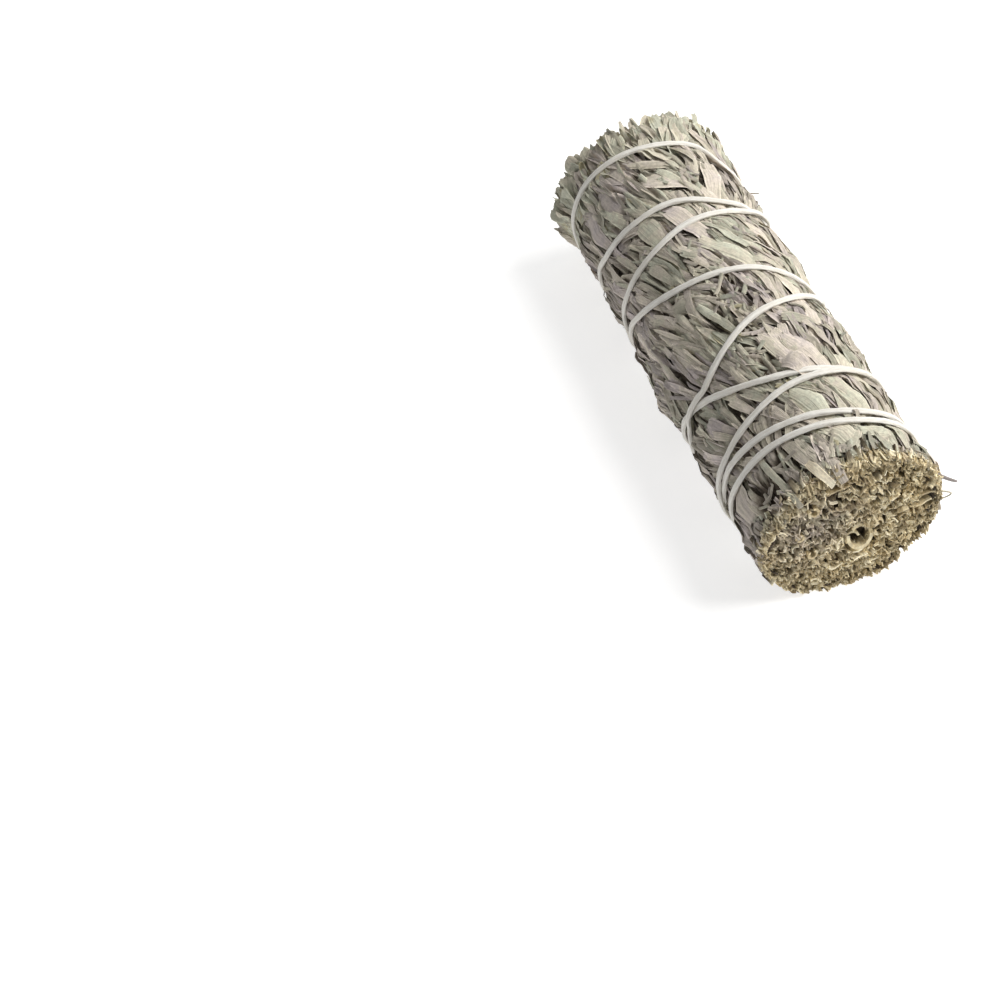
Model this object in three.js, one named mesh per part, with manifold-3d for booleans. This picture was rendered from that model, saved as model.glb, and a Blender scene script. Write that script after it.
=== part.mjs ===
// A sage smudge stick: eleven dried sagebrush sprigs packed side by side and bound with one cotton string.
// Millimetres, +Z up. The stick lies on its side along X, with its leafy end towards -X and its cut end
// towards +X, on a flat that its own weight has pressed along the underside. A station is a distance from the
// leaf tips, and an angle turns about the stick's axis from +Y towards +Z.
import * as THREE from "three";
import { mergeVertices } from "three/addons/utils/BufferGeometryUtils.js";
import Module from "manifold-3d";

const wasm = await Module();
wasm.setup();

const { degToRad, lerp, clamp, smoothstep } = THREE.MathUtils;

// Driving dimensions of the stick
const LENGTH = 108;
const AXIS_HEIGHT = 17.8;
const LEAFY_RADIUS = 17.1;
const CUT_RADIUS = 17.8;
const SETTLE = 0.3;
const GAP = 0.3;

// Shallow lumps of the packed leaves: height, waves round the stick, and turn of phase for each mm along it
const LUMPS = [[0.2, 3, 0.05], [0.14, 2, -0.08]];

// Packed leaves: the body that each sprig's leaf blades stand out of
const PACK_START = 7.5;
const PACK_END = LENGTH - 1.6;
const PACK_SPANS = 5;
const OUTER_ARC_POINTS = 4;
const RIM_WEAR = 1.3;
const INNER_REACH = 9.2;
const OUTER_SPRIGS = 7;
const INNER_SPRIGS = 3;
const SEAM_WAVE = degToRad(3);
const SEAM_WAVE_LENGTH = 75;
const SEAM_PHASE_STEP = 2.4;

// Leaf blades
const LEAF_LENGTH = 20;
const LEAF_WIDTH = 4.5;
const LEAF_THICKNESS = 2.3;
const LEAF_PROUD = 0.3;
const LEAF_TOP = 1.6;
const LEAF_PITCH = degToRad(7);
const LEAF_ROWS = 6;
const LEAVES_PER_ROW = 3;
const FAN_SPREAD = degToRad(36);
const FAN_STRAY = degToRad(8);
const TOOTHED_SHARE = 0.65;
const SEAM_MARGIN = 0.16;

// Leaf tips at the leafy end
const TIP_LEAVES = 4;
const TIP_LEAF_LENGTH = 11;
const TIP_LEAF_THICKNESS = 0.7;
const TIP_SCATTER = 1.6;
const TIP_TWIST = 0.6;

// Cut end and stems
const OUTER_CHIPS = 8;
const INNER_CHIPS = 7;
const CHIP_LENGTH = 3.2;
const CHIP_RADIUS = 1.7;
const CHIP_TAPER = 0.65;
const CHIP_FLATNESS = 0.6;
const CHIP_LEAN = 0.25;
const GOLDEN_SHARE = 0.618;
const STEM_RADIUS = 1.3;
const STEM_TAPER = 0.55;
const STEM_START = 16;
const STEM_END = LENGTH - 0.4;
const OUTER_STEM_AT = 13.4;
const INNER_STEM_AT = 4.9;

// String: a flat soft cotton cord, and the way it is wound
const STRING_WIDTH = 1.7;
const STRING_THICKNESS = 0.8;
const STRING_RIDE = 2.3;
const FLOOR_CLEARANCE = 0.06;
const STRING_SIDES = 6;
const STEPS_PER_TURN = 22;
const KNOT_ANGLE = 330;
const KNOT_STATION = 97.3;
const KNOT_RADIUS = 1.3;
const KNOT_TAILS = [[5.5, 12], [4.2, -14]];
const CROSSING_PRESS = 0.9;

// Each pair is a turn angle in degrees and a station. The string runs from its knot to the leafy end and
// back, always turning the same way, so that the two runs cross each other.
const WINDING = [
  [-30, 97.2], [15, 96.6], [45, 95.7], [75, 94.7], [105, 92.1], [135, 90.1], [165, 89.0], [190, 88.7],
  [235, 88.0], [285, 86.6], [335, 85.0], [375, 83.5], [405, 82.8], [435, 82.4], [465, 80.8], [495, 77.1],
  [525, 72.3], [550, 70.0], [595, 67.2], [645, 63.8], [695, 59.8], [735, 56.4], [765, 54.5], [795, 52.5],
  [825, 50.8], [855, 48.6], [885, 44.6], [910, 41.2], [955, 38.4], [1005, 36.0], [1055, 34.0], [1095, 32.4],
  [1125, 31.6], [1155, 31.0], [1185, 28.4], [1215, 27.5], [1245, 25.8], [1270, 23.2], [1320, 22.0],
  [1370, 21.3], [1420, 20.8], [1455, 19.9], [1485, 17.0], [1500, 12.9], [1512, 11.6], [1535, 10.7],
  [1560, 9.3], [1585, 8.5], [1615, 8.3], [1645, 9.2], [1680, 12.0], [1725, 17.4], [1775, 24.6], [1815, 30.2],
  [1845, 32.8], [1875, 34.4], [1905, 35.6], [1935, 37.4], [1965, 37.7], [1990, 37.6], [2035, 40.0],
  [2085, 45.2], [2135, 51.2], [2175, 55.8], [2205, 59.4], [2235, 62.5], [2265, 65.3], [2295, 69.6],
  [2312, 71.8], [2332, 72.2], [2352, 73.8], [2395, 76.8], [2445, 80.0], [2495, 82.2], [2535, 83.1],
  [2565, 83.7], [2595, 83.8], [2625, 83.8], [2655, 85.4], [2685, 87.0], [2710, 88.4], [2755, 91.2],
  [2805, 94.6], [2855, 97.4], [2895, 98.2], [2925, 97.7], [2955, 97.1], [2985, 95.0], [3015, 93.5],
  [3045, 93.1], [3070, 92.9], [3115, 94.2], [3165, 96.2], [3210, 97.4],
];

const SAGE_LEAF = new THREE.MeshStandardMaterial({ color: 0xa9a494, roughness: 0.9, metalness: 0 });
const SAGE_HEART = new THREE.MeshStandardMaterial({ color: 0x9b9070, roughness: 0.95, metalness: 0 });
const DRY_STEM = new THREE.MeshStandardMaterial({ color: 0xa88a5c, roughness: 0.85, metalness: 0 });
const COTTON = new THREE.MeshStandardMaterial({ color: 0xe9e5da, roughness: 0.8, metalness: 0 });

// A repeatable random number source (mulberry32): each call gives a number from a low value to a high one.
function seeded(seed) {
  let state = seed >>> 0;
  return (low, high) => {
    state = (state + 0x6d2b79f5) >>> 0;
    let t = Math.imul(state ^ (state >>> 15), state | 1);
    t ^= t + Math.imul(t ^ (t >>> 7), t | 61);
    return lerp(low, high, ((t ^ (t >>> 14)) >>> 0) / 4294967296);
  };
}

// A closed three.js geometry as a solid that can be joined and cut.
function solidOf(geometry) {
  const bare = geometry.clone();
  bare.deleteAttribute("normal");
  bare.deleteAttribute("uv");
  const merged = mergeVertices(bare, 1e-4);
  const vertProperties = new Float32Array(merged.attributes.position.array);
  const triVerts = new Uint32Array(merged.index.array);
  return new wasm.Manifold(new wasm.Mesh({ numProp: 3, vertProperties, triVerts }));
}

function joined(solids) {
  return solids.reduce((sum, solid) => sum.add(solid));
}

// A solid as a named mesh. Only its largest body is kept, so that a scrap cut loose by a seam is dropped.
function meshOf(name, solid, material) {
  const [body] = solid.decompose().sort((a, b) => b.volume() - a.volume());
  const { vertProperties, triVerts } = body.getMesh();
  const geometry = new THREE.BufferGeometry();
  geometry.setAttribute("position", new THREE.BufferAttribute(vertProperties, 3));
  geometry.setIndex(new THREE.BufferAttribute(triVerts, 1));
  geometry.computeVertexNormals();
  const mesh = new THREE.Mesh(geometry, material);
  mesh.name = name;
  return mesh;
}

// A closed skin over rings of points that each hold the same number of points, capped by a fan at both ends.
function skin(rings) {
  const count = rings[0].length;
  const last = (rings.length - 1) * count;
  const faces = [];
  for (let start = 0; start < last; start += count) {
    for (let i = 0; i < count; i++) {
      const [a, b] = [start + i, start + ((i + 1) % count)];
      faces.push(a, b, a + count, b, b + count, a + count);
    }
  }
  for (let i = 1; i + 1 < count; i++) {
    faces.push(0, i + 1, i, last, last + i, last + i + 1);
  }
  const geometry = new THREE.BufferGeometry();
  const positions = rings.flat().flatMap((point) => point.toArray());
  geometry.setAttribute("position", new THREE.Float32BufferAttribute(positions, 3));
  geometry.setIndex(faces);
  return geometry;
}

// The way out from the stick's axis at an angle.
function outward(angle) {
  return new THREE.Vector3(0, Math.cos(angle), Math.sin(angle));
}

// A point at a station, an angle and a radius about the stick's axis.
function polar(station, angle, radius) {
  return new THREE.Vector3(station - LENGTH / 2, 0, AXIS_HEIGHT).addScaledVector(outward(angle), radius);
}

// The radius of the packed leaves: a slow swell from the leafy end to the cut end, settled a little towards
// the underside, with shallow lumps.
function packedRadius(station, angle) {
  const swell = lerp(LEAFY_RADIUS, CUT_RADIUS, station / LENGTH) - SETTLE * Math.sin(angle);
  const lumps = LUMPS.map(([height, waves, phase]) => height * Math.sin(waves * angle + phase * station));
  return lumps.reduce((sum, lump) => sum + lump, swell);
}

// The angle of the seam before an outer sprig: a straight line along the stick with a slow wave in it.
function seamAngle(sprig, station) {
  const phase = (sprig % OUTER_SPRIGS) * SEAM_PHASE_STEP;
  const wave = SEAM_WAVE * Math.sin((2 * Math.PI * station) / SEAM_WAVE_LENGTH + phase);
  return (sprig * 2 * Math.PI) / OUTER_SPRIGS + wave;
}

// The room of one outer sprig between its two seams, out to a radius given for each station and angle.
function sprigRoom(sprig, stations, outerRadius) {
  const innerRadius = INNER_REACH + GAP;
  const seamGap = GAP / 2 / innerRadius;
  const rings = [];
  for (const station of stations) {
    const low = seamAngle(sprig, station) + seamGap;
    const high = seamAngle(sprig + 1, station) - seamGap;
    const ring = [];
    for (let i = 0; i < OUTER_ARC_POINTS; i++) {
      const angle = lerp(low, high, i / (OUTER_ARC_POINTS - 1));
      ring.push(polar(station, angle, outerRadius(station, angle)));
    }
    for (const share of [1, 0.5, 0]) {
      ring.push(polar(station, lerp(low, high, share), innerRadius));
    }
    rings.push(ring);
  }
  return solidOf(skin(rings));
}

// The stations where the seams bend, from the start to the end of the packed leaves.
function packStations() {
  return Array.from({ length: PACK_SPANS + 1 }, (_, span) => lerp(PACK_START, PACK_END, span / PACK_SPANS));
}

// The packed radius with the cut end's rim worn round.
function wornRadius(station, angle) {
  return packedRadius(station, angle) - (station === PACK_END ? RIM_WEAR : 0);
}

// The radius that no blade reaches past.
function topRadius(station, angle) {
  return packedRadius(station, angle) + LEAF_TOP;
}

// The outline of a sagebrush leaf, its root at 0: a wedge with three teeth at its tip, or a plain strap.
function leafShape(length, width, toothed) {
  const wedge = [[0, 0], [0.9, -0.5], [0.84, -0.18], [1, 0], [0.84, 0.18], [0.9, 0.5]];
  const strap = [[0, 0], [0.5, -0.38], [1, -0.08], [1, 0.08], [0.5, 0.38]];
  const outline = toothed ? wedge : strap;
  return new THREE.Shape(outline.map(([along, across]) => new THREE.Vector2(along * length, across * width)));
}

// A leaf blade as a solid plate: its upper face has its middle at a place, points forward and faces up.
function leafBlade({ length, width, thickness, toothed, place, forward, up }) {
  const side = new THREE.Vector3().crossVectors(up, forward);
  const plate = new THREE.ExtrudeGeometry(leafShape(length, width, toothed), {
    depth: thickness,
    bevelEnabled: false,
  });
  plate.translate(-length / 2, 0, -thickness);
  plate.applyMatrix4(new THREE.Matrix4().makeBasis(forward, side, up).setPosition(place));
  return solidOf(plate);
}

// A blade laid on the stick's side with its root sunk in: heading 0 points it straight at the leafy end.
function sideLeaf(station, angle, heading, lift, length, width, toothed) {
  const round = outward(angle + Math.PI / 2);
  const flat = new THREE.Vector3(-Math.cos(heading), 0, 0).addScaledVector(round, Math.sin(heading));
  const tilt = new THREE.Vector3().crossVectors(flat, outward(angle));
  const forward = flat.applyAxisAngle(tilt, LEAF_PITCH);
  const up = outward(angle).applyAxisAngle(tilt, LEAF_PITCH);
  const place = polar(station, angle, packedRadius(station, angle) + lift);
  return leafBlade({ length, width, thickness: LEAF_THICKNESS, toothed, place, forward, up });
}

// The blades on an outer sprig's side: rows from the cut end to the leafy end, each row a loose fan.
function sideLeaves(sprig, random) {
  const blades = [];
  const firstRow = PACK_END - LEAF_LENGTH / 2;
  const lastRow = LEAF_LENGTH / 2;
  for (let row = 0; row < LEAF_ROWS; row++) {
    for (let i = 0; i < LEAVES_PER_ROW; i++) {
      const share = (i + 0.5) / LEAVES_PER_ROW + random(-0.05, 0.05);
      const step = ((row + (i % 2) / 2) / (LEAF_ROWS - 0.5)) * (firstRow - lastRow);
      const station = firstRow - step + random(-1.2, 1.2);
      const angle = lerp(seamAngle(sprig, station), seamAngle(sprig + 1, station), share);
      const heading = FAN_SPREAD * (share - 0.5) + random(-FAN_STRAY, FAN_STRAY);
      const length = LEAF_LENGTH * random(0.9, 1.1);
      const width = LEAF_WIDTH * random(0.85, 1.2);
      const lift = LEAF_PROUD + random(-0.15, 0.2);
      blades.push(sideLeaf(station, angle, heading, lift, length, width, random(0, 1) < TOOTHED_SHARE));
    }
  }
  return joined(blades);
}

// Leaf tips that stand out of the leafy end's face, each turned its own way about the stick's direction.
function tipLeaves(angle, radius, spread, random) {
  const tips = [];
  for (let i = 0; i < TIP_LEAVES; i++) {
    const turn = angle + spread * ((i + 0.5) / TIP_LEAVES - 0.5);
    const reach = radius + (i % 2 ? TIP_SCATTER : -TIP_SCATTER);
    const station = PACK_START + random(-TIP_SCATTER, 1);
    tips.push(
      leafBlade({
        length: TIP_LEAF_LENGTH,
        width: LEAF_WIDTH * random(0.7, 0.95),
        thickness: TIP_LEAF_THICKNESS,
        toothed: i % 2 === 0,
        place: polar(station, turn, reach),
        forward: new THREE.Vector3(-1, 0, 0),
        up: outward(turn + random(-TIP_TWIST, TIP_TWIST)),
      }),
    );
  }
  return joined(tips);
}

// The chopped leaf ends on the cut face: flat three-sided chips that lean a little, sunk well into the face.
function cutChips(angle, spread, nearRadius, farRadius, count, random) {
  const chips = [];
  for (let i = 0; i < count; i++) {
    const turn = angle + spread * (((i * GOLDEN_SHARE) % 1) - 0.5);
    const radius = lerp(nearRadius, farRadius, Math.sqrt((i + 0.5) / count));
    const chip = new THREE.CylinderGeometry(CHIP_TAPER * CHIP_RADIUS, CHIP_RADIUS, CHIP_LENGTH, 3);
    chip.scale(1, 1, CHIP_FLATNESS);
    chip.rotateY(random(0, Math.PI));
    chip.rotateZ(-Math.PI / 2 + random(-CHIP_LEAN, CHIP_LEAN));
    const place = polar(PACK_END + random(-0.9, -0.1), turn, radius);
    chip.translate(place.x, place.y, place.z);
    chips.push(solidOf(chip));
  }
  return joined(chips);
}

// A sprig's woody stem, slim at its start and cut off level with the stick's end; grown all round by a value.
function stemSolid(angle, radius, grow) {
  const length = STEM_END - STEM_START + 2 * grow;
  const stem = new THREE.CylinderGeometry(STEM_RADIUS + grow, STEM_TAPER * STEM_RADIUS + grow, length, 8);
  stem.rotateZ(-Math.PI / 2);
  const place = polar((STEM_START + STEM_END) / 2, angle, radius);
  stem.translate(place.x, place.y, place.z);
  return solidOf(stem);
}

// A sprig as a group of two meshes: its leaves, with a plain hole for the stem, and the stem.
function sprigGroup(name, leaves, angle, stemAt, material) {
  const group = new THREE.Group();
  group.add(meshOf(`${name}_leaves`, leaves.subtract(stemSolid(angle, stemAt, GAP)), material));
  group.add(meshOf(`${name}_stem`, stemSolid(angle, stemAt, 0), DRY_STEM));
  return group;
}

// How far a later turn of string rides over an earlier one, from their distance on the unrolled side.
function crossingLift(steps, index) {
  const unroll = (turn, station) => new THREE.Vector2(degToRad(turn) * CUT_RADIUS, station);
  const spot = unroll(steps[index].x, steps[index].y);
  let nearest = Infinity;
  for (let i = 0; steps[index].x - steps[i].x > 180; i++) {
    const shift = 360 * Math.round((steps[index].x - steps[i].x) / 360);
    const start = unroll(steps[i].x + shift, steps[i].y);
    const run = unroll(steps[i + 1].x + shift, steps[i + 1].y).sub(start);
    const share = clamp(spot.clone().sub(start).dot(run) / run.lengthSq(), 0, 1);
    nearest = Math.min(nearest, spot.distanceTo(start.addScaledVector(run, share)));
  }
  const over = 1 - smoothstep(nearest, 0.8 * STRING_WIDTH, 2 * STRING_WIDTH);
  return CROSSING_PRESS * STRING_THICKNESS * over;
}

// The string's centre line: each step's point, the way out from the stick's axis there, and whether the
// stick's weight presses the string into the leaves there.
function windString() {
  const spline = new THREE.SplineCurve(WINDING.map(([turn, station]) => new THREE.Vector2(turn, station)));
  const turns = (WINDING.at(-1)[0] - WINDING[0][0]) / 360;
  const steps = spline.getSpacedPoints(Math.round(STEPS_PER_TURN * turns));
  return steps.map((step, index) => {
    const angle = degToRad(step.x);
    const ride = STRING_RIDE + crossingLift(steps, index);
    const point = polar(step.y, angle, packedRadius(step.y, angle) + ride);
    const lowest = STRING_THICKNESS / 2 + FLOOR_CLEARANCE;
    const pressed = point.z < lowest;
    point.z = Math.max(point.z, lowest);
    return { point, out: outward(angle), pressed };
  });
}

// The stretches of the centre line that lie under the stick, each with one more step at either end.
function pressedStretches(wound) {
  const stretches = [];
  wound.forEach(({ pressed }, i) => {
    if (pressed && !wound[i - 1].pressed) {
      const length = wound.slice(i).findIndex((step) => !step.pressed);
      stretches.push(wound.slice(i - 1, i + length + 1));
    }
  });
  return stretches;
}

// A section of [across, up] points swept along a path, in short pieces joined where turns touch.
function sweep(path, section) {
  const rings = path.map(({ point, out }, i) => {
    const before = path[Math.max(i - 1, 0)].point;
    const after = path[Math.min(i + 1, path.length - 1)].point;
    const run = after.clone().sub(before).normalize();
    const across = new THREE.Vector3().crossVectors(out, run).normalize();
    const up = new THREE.Vector3().crossVectors(run, across);
    return section.map(([x, y]) => point.clone().addScaledVector(across, x).addScaledVector(up, y));
  });
  const pieces = [];
  for (let start = 0; start + 1 < rings.length; start += STEPS_PER_TURN) {
    pieces.push(solidOf(skin(rings.slice(start, start + STEPS_PER_TURN + 1))));
  }
  return joined(pieces);
}

// The string's flat oval section.
function stringSection() {
  const section = [];
  for (let side = 0; side < STRING_SIDES; side++) {
    const turn = (2 * Math.PI * side) / STRING_SIDES;
    section.push([(STRING_WIDTH / 2) * Math.cos(turn), (STRING_THICKNESS / 2) * Math.sin(turn)]);
  }
  return section;
}

// The section of the groove that the string presses into the leaves under the stick, open downwards.
function grooveSection() {
  const half = STRING_WIDTH / 2 + GAP;
  const floor = -STRING_THICKNESS / 2 - GAP;
  return [[half, floor], [half, CUT_RADIUS / 2], [-half, CUT_RADIUS / 2], [-half, floor]];
}

// The two loose tails of the knot, pressed back along the side.
function tailPaths() {
  const angle = degToRad(KNOT_ANGLE);
  return KNOT_TAILS.map(([reach, slant]) => {
    const slanted = angle + degToRad(slant);
    const station = KNOT_STATION + reach;
    const from = polar(KNOT_STATION, angle, packedRadius(KNOT_STATION, angle) + STRING_RIDE);
    const to = polar(station, slanted, packedRadius(station, slanted) + STRING_RIDE);
    return [{ point: from, out: outward(angle) }, { point: to, out: outward(slanted) }];
  });
}

// The knot: a round lump with a short loop drawn tight about it.
function knotSolid() {
  const angle = degToRad(KNOT_ANGLE);
  const lump = new THREE.SphereGeometry(KNOT_RADIUS, 7, 5).scale(1.3, 0.8, 1);
  const loop = new THREE.TorusGeometry(0.8 * KNOT_RADIUS, 0.4 * KNOT_RADIUS, 4, 8).rotateY(Math.PI / 2);
  const place = polar(KNOT_STATION, angle, packedRadius(KNOT_STATION, angle) + STRING_RIDE + 0.5);
  return joined(
    [lump, loop].map((shape) => solidOf(shape.rotateX(angle).translate(place.x, place.y, place.z))),
  );
}

const wound = windString();
const string = joined([...[wound, ...tailPaths()].map((path) => sweep(path, stringSection())), knotSolid()]);
const groove = joined(pressedStretches(wound).map((path) => sweep(path, grooveSection())));
const underFloor = solidOf(new THREE.BoxGeometry(2 * LENGTH, LENGTH, LENGTH).translate(0, 0, -LENGTH / 2));

// One of the sprigs round the outside, with the grooves and the flat that it has where the stick lies on it.
function outerSprig(sprig) {
  const random = seeded(100 + sprig);
  const middle = ((sprig + 0.5) * 2 * Math.PI) / OUTER_SPRIGS;
  const spread = (2 * Math.PI) / OUTER_SPRIGS - SEAM_MARGIN;
  const blades = joined([
    sideLeaves(sprig, random),
    tipLeaves(middle, OUTER_STEM_AT, spread, random),
    cutChips(middle, spread, INNER_REACH + 1.6, CUT_RADIUS - 2, OUTER_CHIPS, random),
  ]);
  const room = sprigRoom(sprig, [0, ...packStations(), LENGTH], topRadius);
  const leaves = sprigRoom(sprig, packStations(), wornRadius)
    .add(blades.intersect(room))
    .subtract(groove)
    .subtract(underFloor);
  return sprigGroup(`outer_sprig_${sprig + 1}`, leaves, middle, OUTER_STEM_AT, SAGE_LEAF);
}

// One of the sprigs in the heart of the stick: a share of a round bar, bristling at both ends.
function innerSprig(sprig) {
  const random = seeded(200 + sprig);
  const share = (2 * Math.PI) / INNER_SPRIGS;
  const middle = (sprig + 0.5) * share;
  const seamGap = GAP / 2 / INNER_REACH;
  const arcPoints = 7;
  const rings = [PACK_START, PACK_END].map((station) => {
    const ring = [polar(station, middle, GAP / 2 / Math.sin(share / 2))];
    for (let i = 0; i < arcPoints; i++) {
      const angle = middle + (share - 2 * seamGap) * (i / (arcPoints - 1) - 0.5);
      ring.push(polar(station, angle, INNER_REACH));
    }
    return ring;
  });
  const leaves = joined([
    solidOf(skin(rings)),
    tipLeaves(middle, INNER_STEM_AT, share - 1, random),
    cutChips(middle, share - 0.8, 3.2, INNER_REACH - 1.6, INNER_CHIPS, random),
  ]);
  return sprigGroup(`inner_sprig_${sprig + 1}`, leaves, middle, INNER_STEM_AT, SAGE_HEART);
}

const smudgeStick = new THREE.Group();
for (let sprig = 0; sprig < OUTER_SPRIGS; sprig++) {
  smudgeStick.add(outerSprig(sprig));
}
for (let sprig = 0; sprig < INNER_SPRIGS; sprig++) {
  smudgeStick.add(innerSprig(sprig));
}
smudgeStick.add(meshOf("binding_string", string, COTTON));

export default smudgeStick;
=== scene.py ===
"""Looks of a sage smudge stick: dried sagebrush sprigs bound with cotton string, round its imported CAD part.

The stick lies along X, its leafy end at -X and its cut end at +X. Shapes are worked out in millimetres. A
place on the stick is a station, in millimetres from the leafy tips, an angle about the axis from +Y towards
+Z, and a radius. Only write_mesh turns millimetres into metres.
"""

from __future__ import annotations

import logging
import math
from dataclasses import dataclass, fields
from enum import Enum

import bpy
import numpy as np
from mathutils import Matrix, Vector


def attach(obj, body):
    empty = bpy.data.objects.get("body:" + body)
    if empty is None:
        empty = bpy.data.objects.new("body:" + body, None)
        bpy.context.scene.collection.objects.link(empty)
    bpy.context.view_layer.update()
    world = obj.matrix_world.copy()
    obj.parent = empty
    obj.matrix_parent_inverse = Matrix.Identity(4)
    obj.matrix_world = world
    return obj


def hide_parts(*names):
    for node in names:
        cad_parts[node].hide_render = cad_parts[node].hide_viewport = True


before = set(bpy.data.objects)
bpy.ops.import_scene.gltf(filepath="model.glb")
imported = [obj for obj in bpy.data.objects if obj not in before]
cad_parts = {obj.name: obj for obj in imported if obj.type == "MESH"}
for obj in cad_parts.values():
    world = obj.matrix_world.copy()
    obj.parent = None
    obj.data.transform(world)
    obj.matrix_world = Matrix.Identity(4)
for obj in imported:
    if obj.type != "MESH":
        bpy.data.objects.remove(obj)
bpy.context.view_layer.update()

Array = np.ndarray
MM = 0.001
TURN = 2 * math.pi
BODY = "root"

log = logging.getLogger("smudge_stick")


class Finish(Enum):
    """Names for the stick's four finishes; nothing in the script uses them."""

    LEAF = "sage_leaf"
    HEART = "sage_heart"
    STEM = "dry_stem"
    STRING = "cotton_string"


def smooth(x: Array) -> Array:
    """Eases from 0 to 1: 0 below 0, 1 above 1, and 3x^2 - 2x^3 between."""
    t = np.clip(x, 0.0, 1.0)
    return t * t * (3.0 - 2.0 * t)


def mixed(a: Array, b: Array, share: Array) -> Array:
    """The value that lies a share of the way from a to b."""
    return a + (b - a) * share


def unit(vectors: Array) -> Array:
    """The vectors at length 1."""
    return vectors / np.linalg.norm(vectors, axis=-1, keepdims=True)


@dataclass
class Shell:
    """Closed surfaces as arrays.

    Points are in millimetres. Traits hold a tint, a lightness and a depth for each point, and cut says how
    far the point belongs to a fresh cut. The depth sets how much painted shade the materials lay on the point.
    """

    points: Array
    quads: Array
    triangles: Array
    uv: Array
    traits: Array
    cut: Array

    @staticmethod
    def joined(shells: list[Shell]) -> Shell:
        """Puts shells into one.

        Args:
            shells: The shells, in order.

        Returns:
            One shell with all their points and faces.
        """
        starts = np.cumsum([0] + [len(shell.points) for shell in shells[:-1]])
        return Shell(
            np.concatenate([shell.points for shell in shells]),
            np.concatenate([shell.quads + start for shell, start in zip(shells, starts)]),
            np.concatenate([shell.triangles + start for shell, start in zip(shells, starts)]),
            np.concatenate([shell.uv for shell in shells]),
            np.concatenate([shell.traits for shell in shells]),
            np.concatenate([shell.cut for shell in shells]),
        )

    def facing_out(self) -> Shell:
        """Turns all faces round where the volume they enclose comes out negative.

        The volume is a sixth of the sum of the triple products of each triangle's corners.

        Returns:
            The shell with its faces outward.
        """
        halves = [self.quads[:, [0, 1, 2]], self.quads[:, [0, 2, 3]], self.triangles]
        corners = self.points[np.concatenate(halves)]
        volume = np.einsum("ij,ij->i", corners[:, 0], np.cross(corners[:, 1], corners[:, 2])).sum() / 6
        if volume < 0:
            self.quads = self.quads[:, ::-1]
            self.triangles = self.triangles[:, ::-1]
        return self


def write_mesh(name: str, shell: Shell, sharp_degrees: float = 50.0) -> bpy.types.Object:
    """Makes a mesh object of a shell, at the origin, with its UV map and attributes.

    Args:
        name: The object's name.
        shell: Its surfaces.
        sharp_degrees: Edges that turn by more than this stay sharp.

    Returns:
        The object, linked to the scene.
    """
    mesh = bpy.data.meshes.new(name)
    corners = np.concatenate([shell.quads.ravel(), shell.triangles.ravel()]).astype(np.int32)
    sizes = np.repeat([4, 3], [len(shell.quads), len(shell.triangles)])
    starts = np.concatenate([[0], np.cumsum(sizes)[:-1]]).astype(np.int32)
    mesh.vertices.add(len(shell.points))
    mesh.vertices.foreach_set("co", (shell.points * MM).astype(np.float32).ravel())
    mesh.loops.add(len(corners))
    mesh.loops.foreach_set("vertex_index", corners)
    mesh.polygons.add(len(sizes))
    mesh.polygons.foreach_set("loop_start", starts)
    mesh.polygons.foreach_set("use_smooth", np.ones(len(sizes), bool))
    mesh.update(calc_edges=True)
    layer = mesh.uv_layers.new(name="blade")
    layer.data.foreach_set("uv", shell.uv[corners].astype(np.float32).ravel())
    traits = mesh.attributes.new("traits", "FLOAT_VECTOR", "POINT")
    traits.data.foreach_set("vector", shell.traits.astype(np.float32).ravel())
    cut = mesh.attributes.new("cut", "FLOAT", "POINT")
    cut.data.foreach_set("value", shell.cut.astype(np.float32))
    mesh.set_sharp_from_angle(angle=math.radians(sharp_degrees))
    piece = bpy.data.objects.new(name, mesh)
    bpy.context.scene.collection.objects.link(piece)
    return piece


def grid_quads(count: int, rows: int, around: int) -> Array:
    """The quads of many tubes, each a grid of rows by points around that closes on itself.

    Args:
        count: How many tubes.
        rows: Rows of points along each.
        around: Points in each row.

    Returns:
        An array of four point numbers a quad.
    """
    row, turn = np.meshgrid(np.arange(rows - 1), np.arange(around), indexing="ij")
    after = (turn + 1) % around
    one = np.stack([row * around + turn, row * around + after, (row + 1) * around + after,
                    (row + 1) * around + turn], axis=-1).reshape(-1, 4)
    return (one[None] + (np.arange(count) * rows * around)[:, None, None]).reshape(-1, 4)


def repeated(faces: Array, count: int, points_each: int) -> Array:
    """The faces of one shape, repeated for a count of shapes with the same number of points each."""
    return (faces[None] + (np.arange(count) * points_each)[:, None, None]).reshape(-1, faces.shape[1])


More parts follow.
